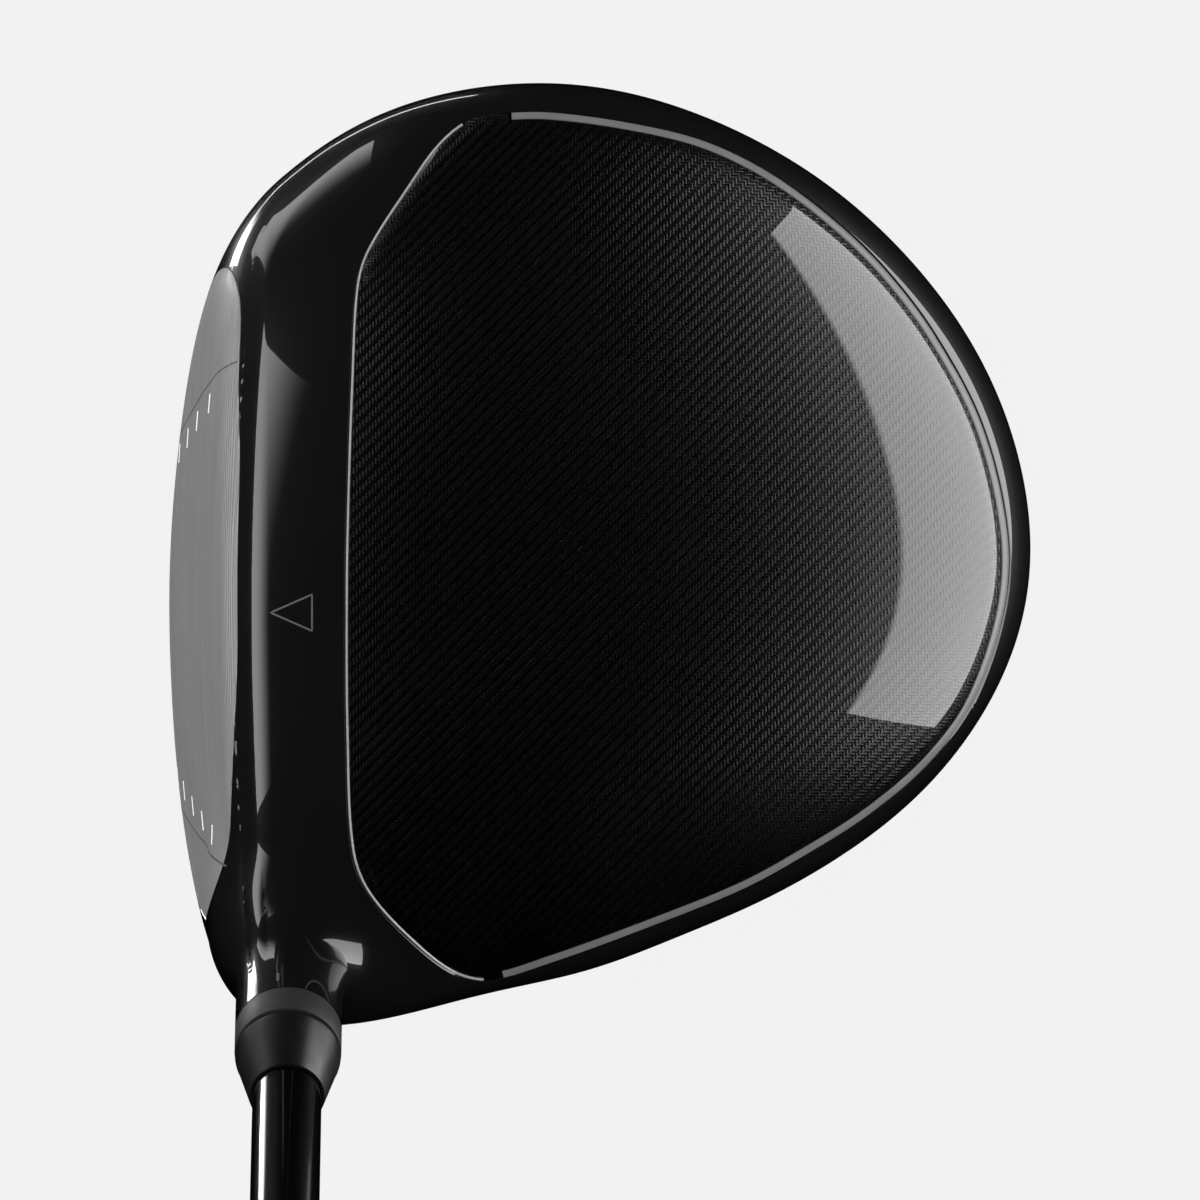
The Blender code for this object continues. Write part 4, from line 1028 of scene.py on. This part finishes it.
def build_hosel_parts():
    washer_foot = SEAT_FROM - GAP - WASHER_THICKNESS
    washer_top = washer_foot + WASHER_THICKNESS
    head_top = washer_foot - GAP
    head_foot = head_top - BOLT_HEAD_HEIGHT
    profile = eased([(0.0, head_foot), (4.2, head_foot), (4.2, head_top), (BOLT_RADIUS, head_top)], 0.2)
    profile += dense(BOLT_RADIUS, head_top + 0.6, 44.0) + [(1.65, 45.0), (0.0, 45.0)]
    shell = lathe(profile, 48, screw_bend(28.0, 44.0))
    socket = star_prism(SOCKET_RADIUS, head_foot - 1.0, head_foot + 2.4)
    mesh = carve(make_mesh("hosel_bolt_detail", [shell]), [make_mesh("socket", [socket])])
    place_piece("hosel_bolt_detail", mesh, HOSEL_AT, STEEL, "hosel_bolt", "hosel_bolt")
    washer = eased([(2.8, washer_foot), (4.8, washer_foot), (4.8, washer_top), (2.8, washer_top)])
    turned_piece("bolt_washer_detail", washer, STEEL, "head", "bolt_washer", 64)
    top = head_foot - GAP
    retainer = eased([(3.2, top - 1.0), (4.95, top - 1.0), (4.95, top), (3.2, top)])
    turned_piece("bolt_retainer_detail", retainer, PLASTIC, "head", "bolt_retainer",
                 64)

    foot = HOSEL_TOP + GAP * 0.3
    top = HOSEL_TOP + GAP + RING_HEIGHT
    ring = lathe(eased([(5.75, foot), (7.05, foot), (7.05, top), (5.75, top)], 0.18))
    keys = [key_prism(angle, 0.0, HOSEL_TOP - 1.2, foot + 0.5) for angle in KEY_ANGLES]
    place_piece("adapter_ring_detail", make_mesh("adapter_ring_detail", [ring, *keys]), HOSEL_AT,
                RING_GREY, "adapter_ring", "adapter_ring")

    collar = top + GAP
    sleeve = [(4.75, 47.7), (4.75, collar + 1.6), (6.1, collar + 1.6), (6.1, collar)]
    sleeve += [(5.45, collar), (5.45, 62.0), (5.2, 61.6), (5.2, 60.8), (5.45, 60.4), (5.45, 36.5)]
    sleeve += [(4.95, 36.0), (2.8, 36.0), (2.8, 46.5), (0.0, 46.5), (0.0, 47.7)]
    turned_piece("adapter_sleeve_detail", sleeve, ALLOY, "shaft_assembly", "adapter_sleeve")

    tip = collar + FERRULE_HEIGHT
    ferrule = [(6.2, collar), (6.5, collar), (6.75, collar + 0.25), (6.98, collar + 0.6)]
    ferrule += [(6.92, collar + 1.0), (6.72, collar + 1.7), (5.05, tip - 0.25), (4.98, tip - 0.08)]
    ferrule += [(4.85, tip), (4.62, tip), (4.62, collar + 1.9), (6.4, collar + 1.9)]
    turned_piece("ferrule_detail", ferrule, FERRULE_BLACK, "shaft_assembly", "ferrule")


def shaft_radius(height):
    part = min(max((height - 150.0) / 930.0, 0.0), 1.0)
    return 4.55 + part * 3.0


def grip_outline(height, foot, top):
    marks = (foot, foot + 1.2, foot + 6.0, foot + 90.0, top - 35.0, top)
    radii = (8.3, 8.9, 9.2, 10.4, 12.8, 13.1)
    return float(np.interp(height, marks, radii))


def build_shaft():
    heights = [86.0, 150.0] + list(np.linspace(180.0, 1080.0, 16)) + [1150.0]
    outer = [(4.45, 48.3), (4.45, 84.0)] + [(shaft_radius(height), height) for height in heights]
    inner = [(radius - 0.95, height) for radius, height in reversed(outer)]
    turned_piece("shaft_detail", outer + inner, SHAFT_PAINT, "shaft_assembly", "shaft")
    plug = eased([(0.0, 50.0), (3.3, 50.0), (3.3, 56.0), (0.0, 56.0)], 0.4)
    turned_piece("shaft_tip_plug_detail", plug, PLASTIC, "shaft_assembly", "shaft_tip_plug",
                 48)
    top = CLUB_LENGTH - GRIP_CAP_HEIGHT - 0.1
    foot = CLUB_LENGTH - GRIP_LENGTH
    marks = (foot + 6.0, 1080.0, 1150.0)
    tape = [(shaft_radius(height) + 0.08, height) for height in marks]
    tape += [(shaft_radius(height) + 0.33, height) for height in reversed(marks)]
    turned_piece("grip_tape_detail", tape, PAPER, "shaft_assembly", "grip_tape", 64)

    def grooves(reach, angle, height):
        from_foot = height - foot
        if not 14.0 < from_foot < 252.0 or reach[0] < 8.5 or abs(from_foot - 128.0) < 7.0:
            return reach
        slant = from_foot * 0.34
        weave = np.maximum(np.cos(9 * angle + slant), np.cos(9 * angle - slant))
        return reach - 0.42 * smooth_step((weave - 0.80) / 0.16)

    rise = np.arange(foot, top, 1.25)
    outside = [(grip_outline(height, foot, top), height) for height in reversed(rise)]
    for mark in (9.0, 12.0, 122.5, 133.5, 256.0, 259.0):
        near = min(range(len(outside)), key=lambda i: abs(outside[i][1] - foot - mark))
        outside[near] = (outside[near][0] - 0.5, outside[near][1])
    bore = [(shaft_radius(height) + 0.4, height) for height in (foot, 1080.0, top)]
    bore_top = (grip_outline(top, foot, top), top)

    def only_outside(reach, angle, height):
        return grooves(reach, angle, height) if reach[0] > shaft_radius(height) + 0.5 else reach

    turned_piece("grip_detail", bore + [bore_top] + outside, RUBBER, "shaft_assembly", "grip",
                 144, only_outside)
    foot = CLUB_LENGTH - GRIP_CAP_HEIGHT
    cap = [(1.4, 1144.0), (6.3, 1144.0), (6.3, foot), (13.1, foot), (13.5, foot + 0.4)]
    cap += [(13.6, foot + 1.2), (13.6, 1154.4), (13.45, 1155.1), (13.0, 1155.6), (12.0, CLUB_LENGTH)]
    cap += [(7.6, CLUB_LENGTH), (7.4, 1155.7), (6.6, 1155.7), (6.4, CLUB_LENGTH), (1.7, CLUB_LENGTH)]
    cap += [(1.4, 1155.7)]
    turned_piece("grip_cap_detail", cap, RUBBER, "shaft_assembly", "grip_cap", 96)


def build_rear_weight():
    low = -WEIGHT_SINK - WEIGHT_THICKNESS
    seat = -WEIGHT_SINK - 3.0 - GAP
    weight = [(BOLT_HOLE_RADIUS, low), (WEIGHT_RADIUS, low), (WEIGHT_RADIUS, -1.1), (8.3, -0.8)]
    weight += [(8.0, -0.55), (7.8, -0.5), (6.9, -0.5), (6.75, -0.7), (6.5, -0.7), (6.35, -0.5)]
    weight += [(4.5, -0.5), (4.3, -0.6), (4.2, -0.9), (4.2, seat), (BOLT_HOLE_RADIUS, seat)]
    turned_piece("rear_weight_block", weight, WEIGHT_METAL, "rear_weight", "rear_weight",
                 96, at=WEIGHT_AT_WORLD)
    under = seat + GAP
    top = under + 2.7
    screw = [(0.0, top), (3.5, top), (3.75, top - 0.1), (3.9, top - 0.35), (3.9, under)]
    screw += [(BOLT_RADIUS, under)]
    screw += dense(BOLT_RADIUS, under - 0.4, -14.2) + [(1.75, -15.0), (0.0, -15.0)]
    shell = lathe(screw, 48, screw_bend(-14.2, -7.0))
    socket = star_prism(SOCKET_RADIUS, top - 2.0, top + 1.0)
    mesh = carve(make_mesh("rear_weight_screw_detail", [shell]), [make_mesh("socket", [socket])])
    place_piece("rear_weight_screw_detail", mesh, WEIGHT_AT_WORLD, STEEL, "rear_weight_screw",
                "rear_weight_screw")


build_body()
build_crown()
build_sole_panels()
build_face()
build_alignment_mark()
build_hosel_tick()
build_hosel_parts()
build_shaft()
build_rear_weight()


# ---------------- studio
def fade_light(data, start, end, bend, begin):
    """Makes an area light rise from nought at one height on its panel to full at another.

    Both heights fall off, by the square of the way past a place along the panel.
    """
    data.use_nodes = True
    tree = data.node_tree

    def math_node(operation, first, second):
        node = tree.nodes.new("ShaderNodeMath")
        node.operation = operation
        for socket, value in zip(node.inputs, (first, second)):
            if isinstance(value, bpy.types.NodeSocket):
                tree.links.new(value, socket)
            else:
                socket.default_value = value
        return node.outputs[0]

    place = tree.nodes.new("ShaderNodeNewGeometry")
    split = tree.nodes.new("ShaderNodeSeparateXYZ")
    tree.links.new(place.outputs["Parametric"], split.inputs[0])
    past = math_node("MAXIMUM", math_node("SUBTRACT", split.outputs[0], begin), 0.0)
    curve = math_node("MULTIPLY", math_node("MULTIPLY", past, past), bend)
    ramp = tree.nodes.new("ShaderNodeMapRange")
    ramp.interpolation_type = "SMOOTHSTEP"
    ramp.inputs["From Min"].default_value = start
    ramp.inputs["From Max"].default_value = end
    tree.links.new(math_node("ADD", split.outputs[1], curve), ramp.inputs["Value"])
    tree.links.new(ramp.outputs["Result"], tree.nodes["Emission"].inputs["Strength"])


def add_light(name, aim, angles, distance, size, power, spin=0.0, fade=None):
    """An area light a distance away from an aim point in the head's frame, facing it.

    Its angles are an azimuth and an elevation, and its fade is what fade_light takes.
    """
    data = bpy.data.lights.new(name, "AREA")
    data.shape = "RECTANGLE"
    data.size, data.size_y = size
    data.energy = power
    if fade is not None:
        fade_light(data, *fade)
    lamp = bpy.data.objects.new(name, data)
    bpy.context.scene.collection.objects.link(lamp)
    direction = Vector(towards(*angles)).normalized()
    lamp.matrix_world = (
        Matrix.Translation((HEAD_ORIGIN + Vector(aim)) * MM + direction * distance)
        @ direction.to_track_quat("Z", "Y").to_matrix().to_4x4()
        @ Matrix.Rotation(math.radians(spin), 4, "Z")
    )
    lamp.visible_camera = False


def towards(azimuth, elevation):
    a, e = math.radians(azimuth), math.radians(elevation)
    return math.cos(e) * math.cos(a), math.cos(e) * math.sin(a), math.sin(e)


# start, end, bend and begin of each fade
REAR_FADE = (1.0, 0.95, 1.2, 0.55)
FRONT_FADE = (1.0, 0.3, 0.0, 0.5)
TOE_FADE = (1.0, 0.1, 0.0, 0.5)
LIGHTS = (
    ("rear_softbox", (0, 0, 30), (11, -3.5), 0.9, (1.56, 0.73), 16.0, 0.0, REAR_FADE),
    ("front_softbox", (-30, 0, 55), (172, 26), 0.9, (1.1, 0.66), 10.0, 0.0, FRONT_FADE),
    ("toe_softbox", (-28, 50, 45), (128, -15), 0.9, (0.46, 0.3), 1.3, 0.0, TOE_FADE),
    ("toe_strip", (-30, 55, 40), (126, -50), 0.9, (0.7, 0.025), 0.35),
    ("low_front_strip", (-29, -55, 70), (137, -44), 0.8, (0.16, 0.16), 1.3, 90.0, TOE_FADE),
)
FLOOR_SIZE = 120.0
FLOOR_DROP = 0.6
CAMERA_AT = Vector((12.0, 2.67, 3000.0))
SENSOR = 36.0
VIEW_WIDTH = 160.0
VIEW_DISTANCE = 2970.0


def build_studio():
    scene = bpy.context.scene
    scene.view_settings.view_transform = "Standard"
    world = bpy.data.worlds.new("pale_room")
    scene.world = world
    world.use_nodes = True
    world.node_tree.nodes["Background"].inputs["Color"].default_value = (0.89, 0.89, 0.89, 1.0)
    world.node_tree.nodes["Background"].inputs["Strength"].default_value = 1.0
    world.cycles_visibility.glossy = False

    ground = (HEAD_ORIGIN.z - FLOOR_DROP) * MM
    bpy.ops.mesh.primitive_plane_add(size=FLOOR_SIZE, location=(0.0, 0.0, ground))
    floor = bpy.context.object
    floor.name = "floor"
    look = Surface("pale_floor", (0.02, 0.02, 0.02), 1.0, Emission_Strength=0.87)
    look.set("Emission Color", (1.0, 1.0, 1.0, 1.0))
    look.set("Specular IOR Level", 0.0)
    floor.data.materials.append(look.material)
    floor.visible_glossy = False
    floor.visible_shadow = False

    for light in LIGHTS:
        add_light(*light)

    camera = bpy.data.cameras.new("camera")
    camera.sensor_width = SENSOR
    camera.lens = SENSOR * VIEW_DISTANCE / VIEW_WIDTH
    camera.clip_start = 0.05
    camera.clip_end = 200.0
    eye = bpy.data.objects.new("camera", camera)
    scene.collection.objects.link(eye)
    eye.location = (HEAD_ORIGIN + CAMERA_AT) * MM
    scene.camera = eye


build_studio()
